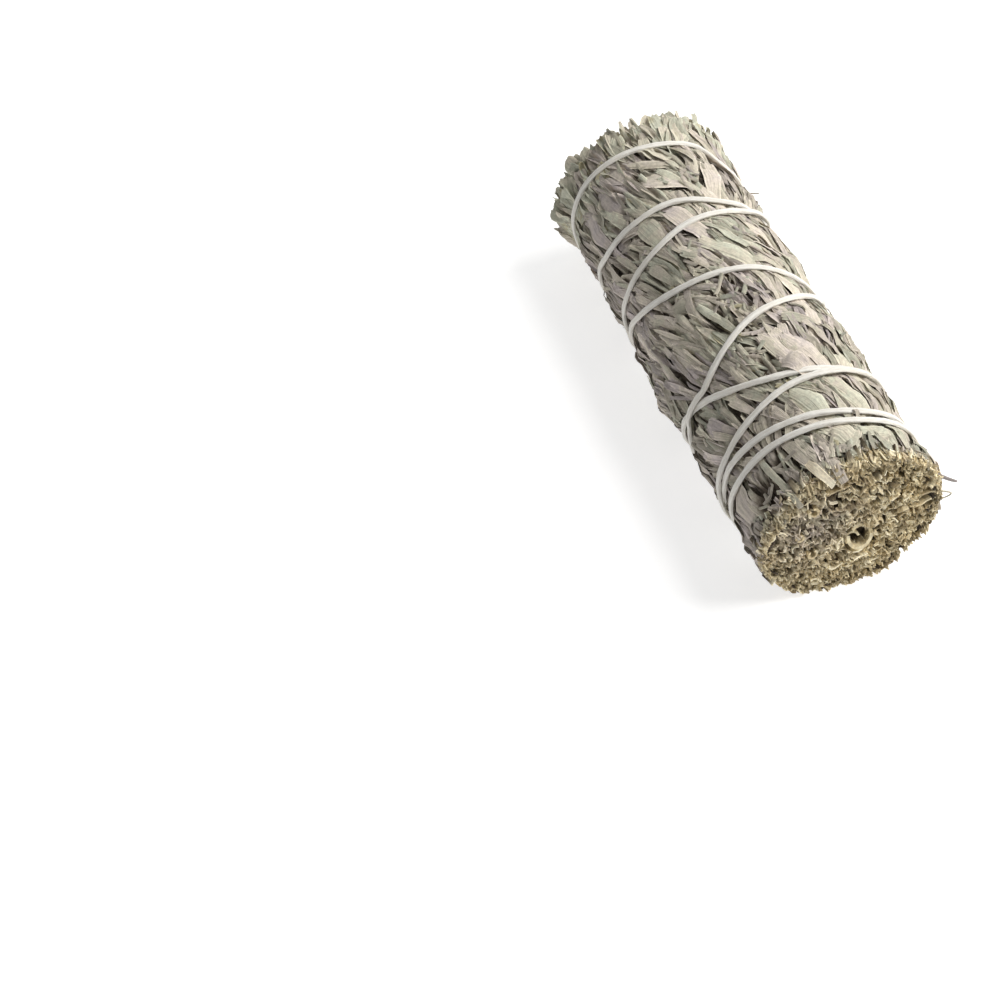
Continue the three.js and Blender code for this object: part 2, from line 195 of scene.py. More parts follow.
@dataclass(frozen=True)
class Bundle:
    """The form that the leaves are packed to, as the CAD part has it.

    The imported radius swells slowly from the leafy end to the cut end, settles a little on the underside and
    has shallow lumps. Seams part the outer sprigs: straight lines along the stick with a slow wave.
    """

    length: float = 108.0
    axis_height: float = 17.8
    leafy_radius: float = 17.1
    cut_radius: float = 17.8
    settle: float = 0.3
    lumps: tuple[tuple[float, int, float], ...] = ((0.2, 3, 0.05), (0.14, 2, -0.08))
    outer_sprigs: int = 7
    inner_sprigs: int = 3
    seam_wave: float = math.radians(3)
    seam_wave_length: float = 75.0
    seam_phase_step: float = 2.4
    inner_reach: float = 9.2
    gap: float = 0.3
    pack_start: float = 7.5
    pack_end: float = 106.4
    side_radius: float = 19.0
    soft_floor: float = 0.55

    def packed_radius(self, station: Array, angle: Array) -> Array:
        """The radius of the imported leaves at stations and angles."""
        radius = mixed(self.leafy_radius, self.cut_radius, station / self.length) - self.settle * np.sin(angle)
        for height, waves, phase in self.lumps:
            radius = radius + height * np.sin(waves * angle + phase * station)
        return radius

    def seam_angle(self, sprig: int, station: Array) -> Array:
        """The angle of the seam before an outer sprig, counted from 0."""
        phase = (sprig % self.outer_sprigs) * self.seam_phase_step
        wave = self.seam_wave * np.sin(TURN * station / self.seam_wave_length + phase)
        return sprig * TURN / self.outer_sprigs + wave

    def outer_sprig_at(self, station: Array, angle: Array) -> Array:
        """The number, from 0, of the outer sprig that holds each place on the side."""
        turned = np.mod(angle, TURN)
        passed = sum((turned >= self.seam_angle(sprig, station)).astype(int)
                     for sprig in range(self.outer_sprigs + 1))
        return (passed - 1) % self.outer_sprigs

    def inner_sprig_at(self, angle: Array) -> Array:
        """The number, from 0, of the inner sprig that holds each angle."""
        return (np.mod(angle, TURN) / TURN * self.inner_sprigs).astype(int) % self.inner_sprigs

    def place(self, station: Array, angle: Array, radius: Array) -> Array:
        """Points at stations, angles and radii, pressed flat where they would pass under the floor.

        Below the soft floor's height h, a height z becomes h * exp((z - h) / h), which never reaches 0.

        Args:
            station: Millimetres from the leafy tips.
            angle: Radians about the axis.
            radius: Millimetres from the axis.

        Returns:
            The points, with one more axis than the places.
        """
        height = self.axis_height + radius * np.sin(angle)
        return np.stack([station - self.length / 2, radius * np.cos(angle), self.pressed(height)], axis=-1)

    def pressed(self, height: Array) -> Array:
        """Heights above the floor, squeezed where they come near it or would pass under it."""
        squeezed = self.soft_floor * np.exp(np.minimum(height / self.soft_floor - 1.0, 0.0))
        return np.where(height > self.soft_floor, height, squeezed)


@dataclass(frozen=True)
class Winding:
    """The binding string's route, as the CAD part has it: turn angles in degrees, with stations."""

    route: tuple[tuple[float, float], ...] = (
        (-30, 97.2), (15, 96.6), (45, 95.7), (75, 94.7), (105, 92.1), (135, 90.1), (165, 89.0), (190, 88.7),
        (235, 88.0), (285, 86.6), (335, 85.0), (375, 83.5), (405, 82.8), (435, 82.4), (465, 80.8), (495, 77.1),
        (525, 72.3), (550, 70.0), (595, 67.2), (645, 63.8), (695, 59.8), (735, 56.4), (765, 54.5), (795, 52.5),
        (825, 50.8), (855, 48.6), (885, 44.6), (910, 41.2), (955, 38.4), (1005, 36.0), (1055, 34.0),
        (1095, 32.4), (1125, 31.6), (1155, 31.0), (1185, 28.4), (1215, 27.5), (1245, 25.8), (1270, 23.2),
        (1320, 22.0), (1370, 21.3), (1420, 20.8), (1455, 19.9), (1485, 17.0), (1500, 12.9), (1512, 11.6),
        (1535, 10.7), (1560, 9.3), (1585, 8.5), (1615, 8.3), (1645, 9.2), (1680, 12.0), (1725, 17.4),
        (1775, 24.6), (1815, 30.2), (1845, 32.8), (1875, 34.4), (1905, 35.6), (1935, 37.4), (1965, 37.7),
        (1990, 37.6), (2035, 40.0), (2085, 45.2), (2135, 51.2), (2175, 55.8), (2205, 59.4), (2235, 62.5),
        (2265, 65.3), (2295, 69.6), (2312, 71.8), (2332, 72.2), (2352, 73.8), (2395, 76.8), (2445, 80.0),
        (2495, 82.2), (2535, 83.1), (2565, 83.7), (2595, 83.8), (2625, 83.8), (2655, 85.4), (2685, 87.0),
        (2710, 88.4), (2755, 91.2), (2805, 94.6), (2855, 97.4), (2895, 98.2), (2925, 97.7), (2955, 97.1),
        (2985, 95.0), (3015, 93.5), (3045, 93.1), (3070, 92.9), (3115, 94.2), (3165, 96.2), (3210, 97.4),
    )
    steps_between: int = 44
    out_of_reach: float = 1000.0

    def dense(self) -> tuple[Array, Array]:
        """The route with a smooth curve between its points.

        The curve is a uniform Catmull-Rom spline: between two points it is the cubic whose slopes at both
        ends are half the step between the neighbours.

        Returns:
            Turn angles in radians and stations in millimetres.
        """
        points = np.array(self.route, float)
        padded = np.concatenate([points[:1], points, points[-1:]])
        t = (np.arange(self.steps_between) / self.steps_between)[None, :, None]
        before, start, end, after = (padded[i:len(padded) - 3 + i, None] for i in range(4))
        slope_in = (end - before) / 2
        slope_out = (after - start) / 2
        curve = (start + slope_in * t + (3 * (end - start) - 2 * slope_in - slope_out) * t**2
                 + (2 * (start - end) + slope_in + slope_out) * t**3)
        curve = np.concatenate([curve.reshape(-1, 2), points[-1:]])
        return np.radians(curve[:, 0]), curve[:, 1]

    def gaps(self, station: Array, angle: Array, radius: float) -> Array:
        """How far places on the side are from each turn of the string.

        For each turn, the station of the string at the place's angle is read off the route, and the gap
        along the axis is multiplied by the cosine of the string's slant.

        Args:
            station: Millimetres from the leafy tips.
            angle: Radians about the axis.
            radius: The radius on which arcs are measured.

        Returns:
            Distances in millimetres, with the turns as the first axis.
        """
        turns, stations = self.dense()
        slopes = np.gradient(stations, turns * radius)
        found = []
        for lap in range(-1, math.ceil(turns[-1] / TURN)):
            turn = np.mod(angle, TURN) + lap * TURN
            on_route = (turn >= turns[0]) & (turn <= turns[-1])
            slant = np.interp(turn, turns, slopes)
            gap = np.abs(station - np.interp(turn, turns, stations)) / np.sqrt(1 + slant**2)
            found.append(np.where(on_route, gap, self.out_of_reach))
        return np.stack(found)


def wrapped(angle: Array) -> Array:
    """Angles brought between minus half a turn and half a turn."""
    return np.mod(angle + math.pi, TURN) - math.pi


@dataclass(frozen=True)
class Cover:
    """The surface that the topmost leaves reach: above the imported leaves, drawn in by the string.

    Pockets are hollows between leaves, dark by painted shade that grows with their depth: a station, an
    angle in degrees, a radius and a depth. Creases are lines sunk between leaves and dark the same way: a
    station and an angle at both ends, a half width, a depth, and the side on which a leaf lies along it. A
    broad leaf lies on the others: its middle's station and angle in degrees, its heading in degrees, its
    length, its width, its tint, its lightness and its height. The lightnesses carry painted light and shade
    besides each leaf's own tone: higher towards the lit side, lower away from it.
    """

    bundle: Bundle
    winding: Winding
    rise: float = 1.75
    bite: float = 0.62
    bite_reach: float = 1.5
    draw: float = 0.95
    draw_reach: float = 4.2
    draw_share: float = 0.55
    relief: tuple[tuple[float, float, int, float], ...] = (
        (0.2, 0.42, 4, 0.4), (0.17, -0.63, 7, 2.1), (0.14, 0.95, 10, 4.0), (0.12, -1.3, -6, 1.1),
        (0.1, 1.9, 13, 5.3),
    )
    swells: tuple[tuple[float, float, float, float], ...] = ((61.0, 190.0, 7.0, 0.6),)
    pockets: tuple[tuple[float, float, float, float], ...] = (
        (77.2, 110, 2.0, 1.7), (67.9, 106, 1.3, 0.9), (87.3, 90, 0.8, 1.2), (102.0, 151, 2.9, 2.5),
        (98.0, 132, 1.6, 1.6), (88.6, 152, 1.4, 1.2), (50.2, 138, 1.0, 1.0), (21.5, 82, 1.0, 1.1),
        (34.2, 141, 1.2, 1.1), (42.8, 109, 0.9, 1.0), (41.3, 71, 1.0, 1.0), (102.5, 100, 1.3, 1.2),
        (74.0, 46, 1.4, 1.0), (24.5, 134, 1.1, 1.0), (105.6, 162, 1.8, 1.6), (104.4, 96, 1.0, 1.0),
        (79.0, 170, 1.2, 1.0), (24.0, 250, 1.5, 1.1), (49.0, 232, 1.6, 1.1), (66.0, 262, 1.4, 1.1),
        (82.0, 240, 1.4, 1.1), (101.0, 225, 1.7, 1.2), (30.0, 335, 1.4, 1.1), (55.0, 352, 1.6, 1.1),
        (72.0, 20, 1.4, 1.0), (100.0, 10, 1.6, 1.2), (40.0, 18, 1.2, 1.0), (88.0, 345, 1.3, 1.0),
    )
    creases: tuple[tuple[float, ...], ...] = (
        (12.5, 131, 17.0, 119, 0.5, 0.8, 1), (16.5, 118, 25.5, 110, 0.6, 1.0, 1), (20.5, 103, 29.5, 84, 0.5, 0.9, -1),
        (13.0, 127, 22.0, 82, 0.45, 0.7, -1), (16.0, 70, 24.5, 78, 0.6, 1.0, 1), (18.0, 62, 27.0, 60, 0.6, 1.0, 1),
        (22.0, 58, 30.0, 51, 0.6, 0.9, -1), (28.0, 51, 33.5, 56, 0.5, 0.8, 1), (9.0, 62, 12.0, 72, 0.5, 0.8, 1),
        (17.0, 91, 18.3, 87, 0.5, 0.9, 1), (19.5, 141, 26.0, 131, 0.6, 1.0, 1), (20.5, 148, 26.5, 144, 0.5, 0.7, -1),
        (10.0, 134, 20.0, 124, 0.4, 0.6, -1), (11.0, 152, 20.0, 150, 0.45, 0.7, 1), (29.0, 166, 37.0, 159, 0.6, 0.9, 1),
        (30.0, 159, 38.5, 151, 0.5, 0.7, -1), (31.0, 121, 35.5, 118, 0.45, 0.6, 1), (40.0, 149, 47.0, 140, 0.5, 0.9, 1),
        (41.0, 142, 46.5, 136, 0.5, 0.8, -1), (40.0, 121, 51.0, 106, 0.45, 0.7, -1), (42.0, 112, 44.0, 106, 0.6, 1.0, 1),
        (43.5, 104, 51.0, 92, 0.5, 0.9, 1), (39.0, 87, 43.0, 76, 0.6, 0.9, 1), (43.0, 76, 48.5, 60, 0.55, 0.9, 1),
        (43.0, 161, 50.0, 149, 0.5, 0.9, -1), (49.0, 153, 55.0, 139, 0.5, 0.9, 1), (51.0, 130, 57.0, 134, 0.45, 0.8, -1),
        (58.5, 136, 62.5, 124, 0.55, 1.0, 1), (57.5, 127, 64.0, 119, 0.5, 0.8, -1), (50.0, 162, 65.0, 150, 0.4, 0.7, 1),
        (55.0, 158, 70.0, 146, 0.4, 0.7, -1), (60.0, 153, 68.0, 143, 0.45, 0.8, 1), (52.0, 168, 68.0, 160, 0.4, 0.7, 1),
        (60.0, 172, 71.0, 166, 0.45, 0.7, -1), (56.0, 105, 56.6, 94, 0.5, 0.9, 1), (60.0, 118, 66.0, 110, 0.45, 0.7, 1),
        (62.0, 89, 66.5, 83, 0.4, 0.7, -1), (70.0, 128, 76.0, 121, 0.45, 0.8, 1), (72.0, 106, 76.0, 103, 0.55, 1.0, -1),
        (79.5, 103, 83.5, 101, 0.5, 0.8, -1), (71.0, 85, 74.5, 88, 0.35, 0.7, 1), (74.5, 88, 77.0, 85, 0.35, 0.7, 1),
        (69.0, 75, 72.0, 71, 0.4, 0.8, -1), (72.0, 71, 80.5, 63, 0.4, 0.8, -1), (70.0, 53, 80.0, 53, 0.5, 0.8, 1),
        (79.5, 161, 84.5, 149, 0.55, 0.9, 1), (80.0, 142, 84.5, 135, 0.5, 0.9, -1), (85.5, 87, 93.5, 78, 0.45, 1.0, 1),
        (86.0, 83, 91.0, 77, 0.4, 0.9, -1), (93.5, 78, 98.0, 76, 0.45, 0.9, 1), (98.0, 76, 99.5, 61, 0.45, 0.8, 1),
        (101.0, 83, 104.5, 92, 0.5, 1.0, 1), (103.0, 101, 106.0, 101, 0.5, 0.9, 1), (101.0, 75, 106.0, 70, 0.4, 0.8, -1),
        (93.0, 142, 106.0, 135, 0.6, 1.1, 1), (97.0, 157, 106.5, 149, 0.6, 1.1, 1), (99.0, 167, 106.0, 160, 0.5, 0.9, -1),
        (86.5, 158, 89.5, 150, 0.5, 0.9, 1), (90.0, 151, 93.0, 141, 0.5, 0.9, 1), (95.0, 128, 104.0, 121, 0.45, 0.8, -1),
        (96.0, 114, 105.0, 108, 0.4, 0.7, 1), (86.0, 118, 92.0, 112, 0.4, 0.6, 1), (73.0, 140, 79.0, 131, 0.5, 0.8, 1),
    )
    # The lightnesses carry painted light and shade besides each leaf's tone: higher towards the lit side, lower away
    # from it.
    broad: tuple[tuple[float, ...], ...] = (
        (20.5, 161, 4, 13, 4.6, 0.05, 0.50, 0.0), (33.0, 126, 12, 11, 5.0, 0.62, 0.70, 0.15),
        (36.0, 103, 20, 13, 4.2, 0.20, 0.84, 0.15), (46.5, 88, 42, 15, 4.0, 0.66, 0.84, 0.1),
        (53.0, 135, 60, 7, 4.4, 0.50, 0.44, 0.1), (81.5, 156, 30, 8, 4.2, 0.04, 0.45, 0.0),
        (75.5, 98, 16, 13, 3.4, 0.26, 0.86, 0.1), (78.0, 80, 24, 16, 3.8, 0.27, 0.86, 0.15), (76.5, 88, 20, 14, 3.2, 0.30, 0.84, 0.0),
        (89.5, 99, 20, 11, 4.8, 0.74, 0.84, 0.1), (90.0, 72, 22, 12, 5.0, 0.62, 0.90, 0.1),
        (97.3, 170, 3, 11, 5.4, 0.34, 0.42, 0.0), (98.3, 92, 18, 9, 5.4, 0.52, 0.90, 0.2),
        (23.0, 98, 58, 13, 4.4, 0.34, 0.80, 0.15), (25.0, 71, -14, 13, 3.8, 0.30, 0.88, 0.0),
        (30.5, 74, 30, 9, 4.0, 0.30, 0.90, 0.0), (52.0, 174, 12, 15, 1.9, 0.28, 1.0, 0.1),
        (66.0, 62, 6, 10, 4.0, 0.34, 0.90, 0.0), (84.0, 56, 18, 12, 4.2, 0.55, 0.92, 0.0),
        (41.5, 58, 36, 11, 3.8, 0.36, 0.90, 0.0), (104.5, 116, 20, 7, 1.9, 0.30, 1.0, 0.6),
        (25.0, 210, 14, 13, 4.4, 0.30, 0.55, 0.0), (52.0, 216, -10, 14, 4.2, 0.60, 0.55, 0.0),
        (70.0, 204, 22, 13, 4.2, 0.12, 0.52, 0.0), (90.0, 212, 8, 13, 4.2, 0.50, 0.56, 0.0),
        (36.0, 290, -16, 13, 4.2, 0.40, 0.55, 0.0), (60.0, 318, 20, 14, 4.4, 0.22, 0.60, 0.0),
        (80.0, 300, 6, 12, 4.0, 0.60, 0.60, 0.0), (20.0, 322, 10, 13, 4.2, 0.18, 0.62, 0.0),
        (46.0, 350, -12, 13, 4.2, 0.52, 0.70, 0.0), (92.0, 324, 26, 12, 4.2, 0.30, 0.66, 0.0),
        (66.0, 6, 12, 13, 4.2, 0.34, 0.78, 0.0), (30.0, 6, 22, 14, 4.4, 0.58, 0.78, 0.0),
        (82.0, 32, 16, 13, 4.2, 0.24, 0.86, 0.0), (54.0, 36, 8, 13, 4.0, 0.40, 0.88, 0.0),
        (80.0, 94, 34, 7.4, 3.8, 0.26, 0.86, 1.01), (95.2, 78.5, -4, 4.6, 0.9, 0.40, 0.70, 1.01),
        (7.2, 171, 2, 12, 4.2, 0.88, 0.44, 0.35), (7.6, 187, -4, 13, 4.4, 0.80, 0.42, 0.35),
        (6.6, 200, 4, 12, 4.0, 0.92, 0.42, 0.3), (6.6, 83, 3, 9, 3.6, 0.88, 0.70, 0.2),
        (19.5, 140, 14, 12, 4.0, 0.10, 0.50, 0.1), (58.0, 60, 20, 11, 4.6, 0.40, 0.90, 0.1),
    )
    hidden_creases: int = 60
    hidden_seed: int = 91
    shoulder_start: float = 100.5
    shoulder_wear: float = 0.7
    chopped_middle: float = math.radians(105)
    chopped_spread: float = math.radians(42)
    chopped_back: float = 2.6
    chopped_wear: float = 2.4
    flare: float = 0.45
    flare_left: float = 0.75
    flare_spread: float = math.radians(45)
    flare_reach: float = 7.5

    def chopped(self, angle: Array) -> Array:
        """How far a place round the cut end is chopped back: most on top, by a bell curve of its angle."""
        return np.exp(-(wrapped(angle - self.chopped_middle) / self.chopped_spread) ** 2)

    def level(self, station: Array, angle: Array) -> Array:
        """The radius of the cover without the pockets and creases.

        Args:
            station: Millimetres from the leafy tips.
            angle: Radians about the axis.

        Returns:
            Radii in millimetres.
        """
        bundle = self.bundle
        gaps = self.winding.gaps(station, angle, bundle.side_radius)
        nearest = gaps.min(axis=0)
        relief = sum(height * np.sin(along * station + waves * angle + phase)
                     for height, along, waves, phase in self.relief)
        radius = bundle.packed_radius(station, angle) + self.rise + relief * (1 - np.exp(-(nearest / 2.2) ** 2))
        radius = radius + self.bells(self.swells, station, angle)
        crowded = np.exp(-(gaps / self.draw_reach) ** 2).sum(axis=0)
        radius = radius - self.draw * (1 - np.exp(-self.draw_share * crowded))
        radius = radius - self.bite * np.exp(-(nearest / self.bite_reach) ** 2)
        chopped = self.chopped(angle)
        start = self.shoulder_start - self.chopped_back * chopped
        wear = self.shoulder_wear + self.chopped_wear * chopped
        radius = radius - wear * np.clip((station - start) / (bundle.length - start), 0, 1.2) ** 1.6
        flare = self.flare + self.flare_left * np.exp(-(wrapped(angle - math.pi) / self.flare_spread) ** 2)
        return radius + flare * smooth(1 - station / self.flare_reach)

    def bells(self, table: tuple, station: Array, angle: Array) -> Array:
        """The sum of round bells at places: each has a station, an angle in degrees, a reach and a height."""
        total = np.zeros(np.shape(station))
        for middle, degrees, reach, height in table:
            off = wrapped(angle - math.radians(degrees)) * self.bundle.side_radius
            total = total + height * np.exp(-((station - middle) ** 2 + off**2) / reach**2)
        return total

    def under_broad(self, station: Array, angle: Array) -> Array:
        """How far places lie under the broad leaves, from 0 to 1: 1 well inside each one's oval.

        Args:
            station: Millimetres from the leafy tips.
            angle: Radians about the axis.

        Returns:
            The shares.
        """
        share = np.zeros(np.shape(station))
        for middle, degrees, heading, length, width, *_ in self.broad:
            back = station - middle
            off = wrapped(angle - math.radians(degrees)) * self.bundle.side_radius
            cos, sin = math.cos(math.radians(heading)), math.sin(math.radians(heading))
            oval = 2 * np.hypot((back * cos - off * sin) / length, (back * sin + off * cos) / width)
            share = np.maximum(share, smooth((1.05 - oval) / 0.35))
        return share

    def all_creases(self) -> Array:
        """The creases that show, and others drawn by a seeded rule for the hidden side."""
        random = np.random.default_rng(self.hidden_seed)
        count = self.hidden_creases
        station = random.uniform(10, 98, count)
        angle = random.uniform(198, 400, count)
        run = random.uniform(3, 9, count)
        turn = np.degrees(run * np.tan(np.radians(random.normal(12, 18, count))) / self.bundle.side_radius)
        drawn_creases = np.stack([station, angle, station + run, angle - turn, random.uniform(0.4, 0.6, count),
                                  random.uniform(0.6, 1.0, count), np.sign(random.uniform(-1, 1, count))], axis=-1)
        return np.concatenate([np.array(self.creases, float), drawn_creases])

    def crease_depth(self, station: Array, angle: Array) -> Array:
        """How deep the creases are at places: for each, a bell of the distance to its line.

        Args:
            station: Millimetres from the leafy tips.
            angle: Radians about the axis.

        Returns:
            Depths in millimetres.
        """
        depth = np.zeros(np.shape(station))
        for start, from_degrees, end, to_degrees, reach, sunk, _ in self.all_creases():
            run, rise = end - start, math.radians(to_degrees - from_degrees) * self.bundle.side_radius
            back = station - start
            off = wrapped(angle - math.radians(from_degrees)) * self.bundle.side_radius
            share = np.clip((back * run + off * rise) / (run**2 + rise**2), 0, 1)
            square = (back - share * run) ** 2 + (off - share * rise) ** 2
            depth = np.maximum(depth, sunk * np.exp(-square / reach**2))
        return depth


@dataclass(frozen=True)
class Lie:
    """Which way the leaves point: headings in degrees at stations and angles, 0 straight at the leafy end.

    The visible side follows the real stick. The hidden side has points drawn by a seeded rule. Between the
    points, a heading is their mean weighted by a bell curve of their distance.
    """

    seen: tuple[tuple[float, float, float], ...] = (
        (3, 30, 2), (3, 60, 0), (3, 90, 2), (3, 120, -2), (3, 150, 0), (3, 180, 3),
        (18, 125, 36), (22, 100, 46), (17, 156, 4), (22, 70, -15), (14, 85, 8), (26, 112, 20), (14, 108, 18),
        (27, 92, 40), (33, 120, 12), (34, 145, 28), (35, 95, 16), (30, 60, 14), (24, 176, 8), (38, 172, 12),
        (43, 105, 46), (47, 98, 40), (46, 76, 38), (44, 130, 24), (42, 155, 14), (50, 60, 30), (40, 60, 36),
        (54, 150, 34), (57, 138, 40), (57, 104, 24), (60, 115, 16), (60, 85, -4), (57, 168, 14), (60, 60, 12),
        (64, 160, 13), (68, 140, 16), (64, 100, 4), (66, 76, -2), (70, 120, 22), (70, 175, 10), (68, 55, 10),
        (74, 92, 18), (75, 75, 22), (78, 62, 16), (78, 130, 26), (80, 160, 34), (78, 110, 44), (79, 180, 20),
        (84, 125, 12), (88, 115, 12), (88, 85, 30), (90, 64, 20), (90, 150, 30), (88, 175, 10),
        (98, 166, 4), (98, 140, 14), (97, 112, 9), (99, 90, 24), (101, 70, 16), (105, 120, 6), (105, 150, 10),
        (105, 180, 4), (105, 90, 8), (104, 50, 10), (12, 50, 20), (20, 45, 26), (30, 40, 34),
    )
    reach: float = 4.6
    hidden_from: float = 195.0
    hidden_to: float = 385.0
    hidden_step: float = 9.0
    hidden_mean: float = 12.0
    hidden_spread: float = 24.0
    seed: int = 31

    def points(self, bundle: Bundle) -> Array:
        """All the points: the seen ones and the drawn ones of the hidden side."""
        random = np.random.default_rng(self.seed)
        stations = np.arange(12.0, bundle.length, self.hidden_step)
        arc = self.hidden_step / bundle.side_radius
        angles = np.degrees(np.arange(math.radians(self.hidden_from), math.radians(self.hidden_to), arc))
        station, angle = (grid.ravel() for grid in np.meshgrid(stations, angles))
        heading = random.normal(self.hidden_mean, self.hidden_spread, len(station))
        jitter = random.uniform(-3, 3, (2, len(station)))
        drawn = np.stack([station + jitter[0], angle + jitter[1] * 3, heading], axis=-1)
        return np.concatenate([np.array(self.seen, float), drawn])

    def heading(self, bundle: Bundle, station: Array, angle: Array) -> Array:
        """Headings in radians at places on the side.

        Args:
            bundle: The stick's form.
            station: Millimetres from the leafy tips.
            angle: Radians about the axis.

        Returns:
            Headings, positive towards a larger angle.
        """
        points = self.points(bundle)
        off = wrapped(angle[:, None] - np.radians(points[None, :, 1]))
        square = (station[:, None] - points[None, :, 0]) ** 2 + (off * bundle.side_radius) ** 2
        weight = np.exp(-square / (2 * self.reach**2)) + 1e-9
        heading = (weight * np.radians(points[None, :, 2])).sum(axis=1) / weight.sum(axis=1)
        return heading * smooth((station - 3) / 8)


@dataclass
class Blades:
    """Leaf blades, with one value of each array for each blade.

    A blade grows from its root, at a station and an angle, along its heading, which bends on the way. Its
    half width eases up from its root's share to 1 at its belly and falls to its tip's share. Heights are
    from the cover. Roll raises one edge, fold raises both edges straight, and cup raises them in a curve.
    Teeth draws back two notches at the tip. Cut says that the blade is a chopped one, and firm that it
    isn't lowered into creases.
    """

    station: Array
    angle: Array
    heading: Array
    bend: Array
    length: Array
    width: Array
    root_share: Array
    belly: Array
    tip_share: Array
    teeth: Array
    root_height: Array
    mid_height: Array
    tip_height: Array
    roll: Array
    fold: Array
    cup: Array
    ripple: Array
    thickness: Array
    tint: Array
    light: Array
    cut: Array
    firm: Array

    ALONG = np.array([0.0, 0.12, 0.28, 0.44, 0.6, 0.74, 0.86, 0.95, 1.0])
    ACROSS = np.array([-1.0, -0.5, 0.0, 0.5, 1.0, 0.0])
    UNDER = np.array([0.0, 0.0, 0.0, 0.0, 0.0, 1.0])
    TOOTH = np.array([0.0, -1.0, 0.3, -1.0, 0.0, -0.6])
    END = np.array([[0, 1, 5], [1, 2, 5], [2, 3, 5], [3, 4, 5]])
    # These set the painted shade between leaves: the depth below the cover where it starts, the depth over which it
    # grows, the side facing the key light and how much weaker it is there.
    DARK_FROM = 0.26
    DARK_OVER = 0.82
    LIT_SIDE = math.radians(60)
    LIT_SIDE_SHADE_EASE = 0.4
    MOST_ROLL = 0.6
    UNDER_BROAD = 0.75
    STRING_ROOM = 1.0
    ROOM_FALL = 1.1

    def taken(self, chosen: Array) -> Blades:
        """The blades that a mask or a list of numbers chooses."""
        return Blades(**{entry.name: getattr(self, entry.name)[chosen] for entry in fields(self)})

    @staticmethod
    def joined(sets: list[Blades]) -> Blades:
        """All the blades of several sets."""
        return Blades(**{entry.name: np.concatenate([getattr(each, entry.name) for each in sets])
                         for entry in fields(Blades)})

    def half_width(self) -> Array:
        """Half the width along each blade.

        It is root + (1 - root) * ease(u / belly), times 1 - (1 - tip) * x^2.2, where x runs from 0 at the
        belly to 1 at the tip.
        """
        u = self.ALONG[None]
        belly = self.belly[:, None]
        rise = self.root_share[:, None] + (1 - self.root_share[:, None]) * smooth(u / belly)
        past = np.clip((u - belly) / (1 - belly), 0, 1)
        return self.width[:, None] / 2 * rise * (1 - (1 - self.tip_share[:, None]) * past**2.2)

    def form(self) -> tuple[Array, Array, Array]:
        """The blades' own shapes.

        Returns:
            For each blade, row and point of the row: how far the point is shifted along the blade from its
            row, how far it is across, and its height.
        """
        u = self.ALONG[None, :, None]
        v = self.ACROSS[None, None, :]
        wide = self.half_width()[:, :, None]

        def each(values: Array) -> Array:
            """The blades' values, spread over rows and points."""
            return values[:, None, None]

        height = mixed(each(self.root_height), each(self.mid_height), smooth(u / 0.42))
        height = height + (each(self.tip_height) - each(self.mid_height)) * smooth((u - 0.42) / 0.58)
        roll = np.clip(each(self.roll) * (1.3 - 0.6 * u), -self.MOST_ROLL, self.MOST_ROLL)
        height = height + wide * v * np.tan(roll)
        height = height + wide * (np.abs(v) * each(self.fold) + v**2 * each(self.cup))
        height = height + each(self.ripple) * np.sin(TURN * (1.7 * u + each(self.tint)) + 2.0 * v)
        thin = each(self.thickness) * (1 - 0.45 * u**3)
        height = height - self.UNDER[None, None] * thin
        shift = each(self.teeth) * self.TOOTH[None, None] * smooth((u - 0.8) / 0.2)
        return shift, wide * v, height

    def faces(self) -> tuple[Array, Array]:
        """The quads along the blades and the triangles that close both their ends."""
        count, rows, around = len(self.length), len(self.ALONG), len(self.ACROSS)
        ends = np.concatenate([self.END[:, ::-1], self.END + (rows - 1) * around])
        return grid_quads(count, rows, around), repeated(ends, count, rows * around)

    def shell(self, points: Array, depth: Array) -> Shell:
        """The shell of the blades, once their points are known.

        Args:
            points: For each blade, row and point of the row, its place.
            depth: How much painted shade each point gets, from 0 to 1.

        Returns:
            The shell, facing outward.
        """
        quads, triangles = self.faces()
        shape = points.shape[:3]
        u = np.broadcast_to(self.ALONG[None, :, None] * self.length[:, None, None] / 10, shape)
        v = np.broadcast_to((self.ACROSS[None, None] + 1) / 2, shape)
        tint = np.broadcast_to(self.tint[:, None, None], shape)
        light = np.broadcast_to(self.light[:, None, None], shape)
        cut = np.broadcast_to(self.cut[:, None, None], shape)
        return Shell(
            points.reshape(-1, 3), quads, triangles, np.stack([u, v], axis=-1).reshape(-1, 2),
            np.stack([tint, light, depth], axis=-1).reshape(-1, 3), cut.ravel(),
        ).facing_out()

    def trimmed(self, random: np.random.Generator, low: Array, high: Array, radius: float) -> Blades:
        """The blades cut off square where they reach outside a range of stations.

        Args:
            random: Where the shapes of the cut ends come from.
            low: Each blade's lowest station.
            high: Its highest.
            radius: The radius on which arcs are measured.

        Returns:
            Those that stay long enough.
        """
        count = len(self.length)
        cos = np.cos(self.heading)
        cos = np.where(np.abs(cos) < 0.2, np.where(cos < 0, -0.2, 0.2), cos)
        far = self.station - self.length * cos
        root, tip = np.clip(self.station, low, high), np.clip(far, low, high)
        root_cut, tip_cut = root != self.station, tip != far
        self.angle = self.angle + (self.station - root) * np.tan(self.heading) / radius
        self.station, self.length = root, (root - tip) / cos
        self.root_share = np.where(root_cut, random.uniform(0.7, 1.0, count), self.root_share)
        self.root_height = np.where(root_cut, self.mid_height - random.uniform(0, 0.4, count), self.root_height)
        self.tip_share = np.where(tip_cut, random.uniform(0.7, 1.0, count), self.tip_share)
        self.teeth = np.where(tip_cut, 0.0, self.teeth)
        return self.taken((self.length > 3.0) & (np.abs(np.cos(self.heading)) > 0.2))

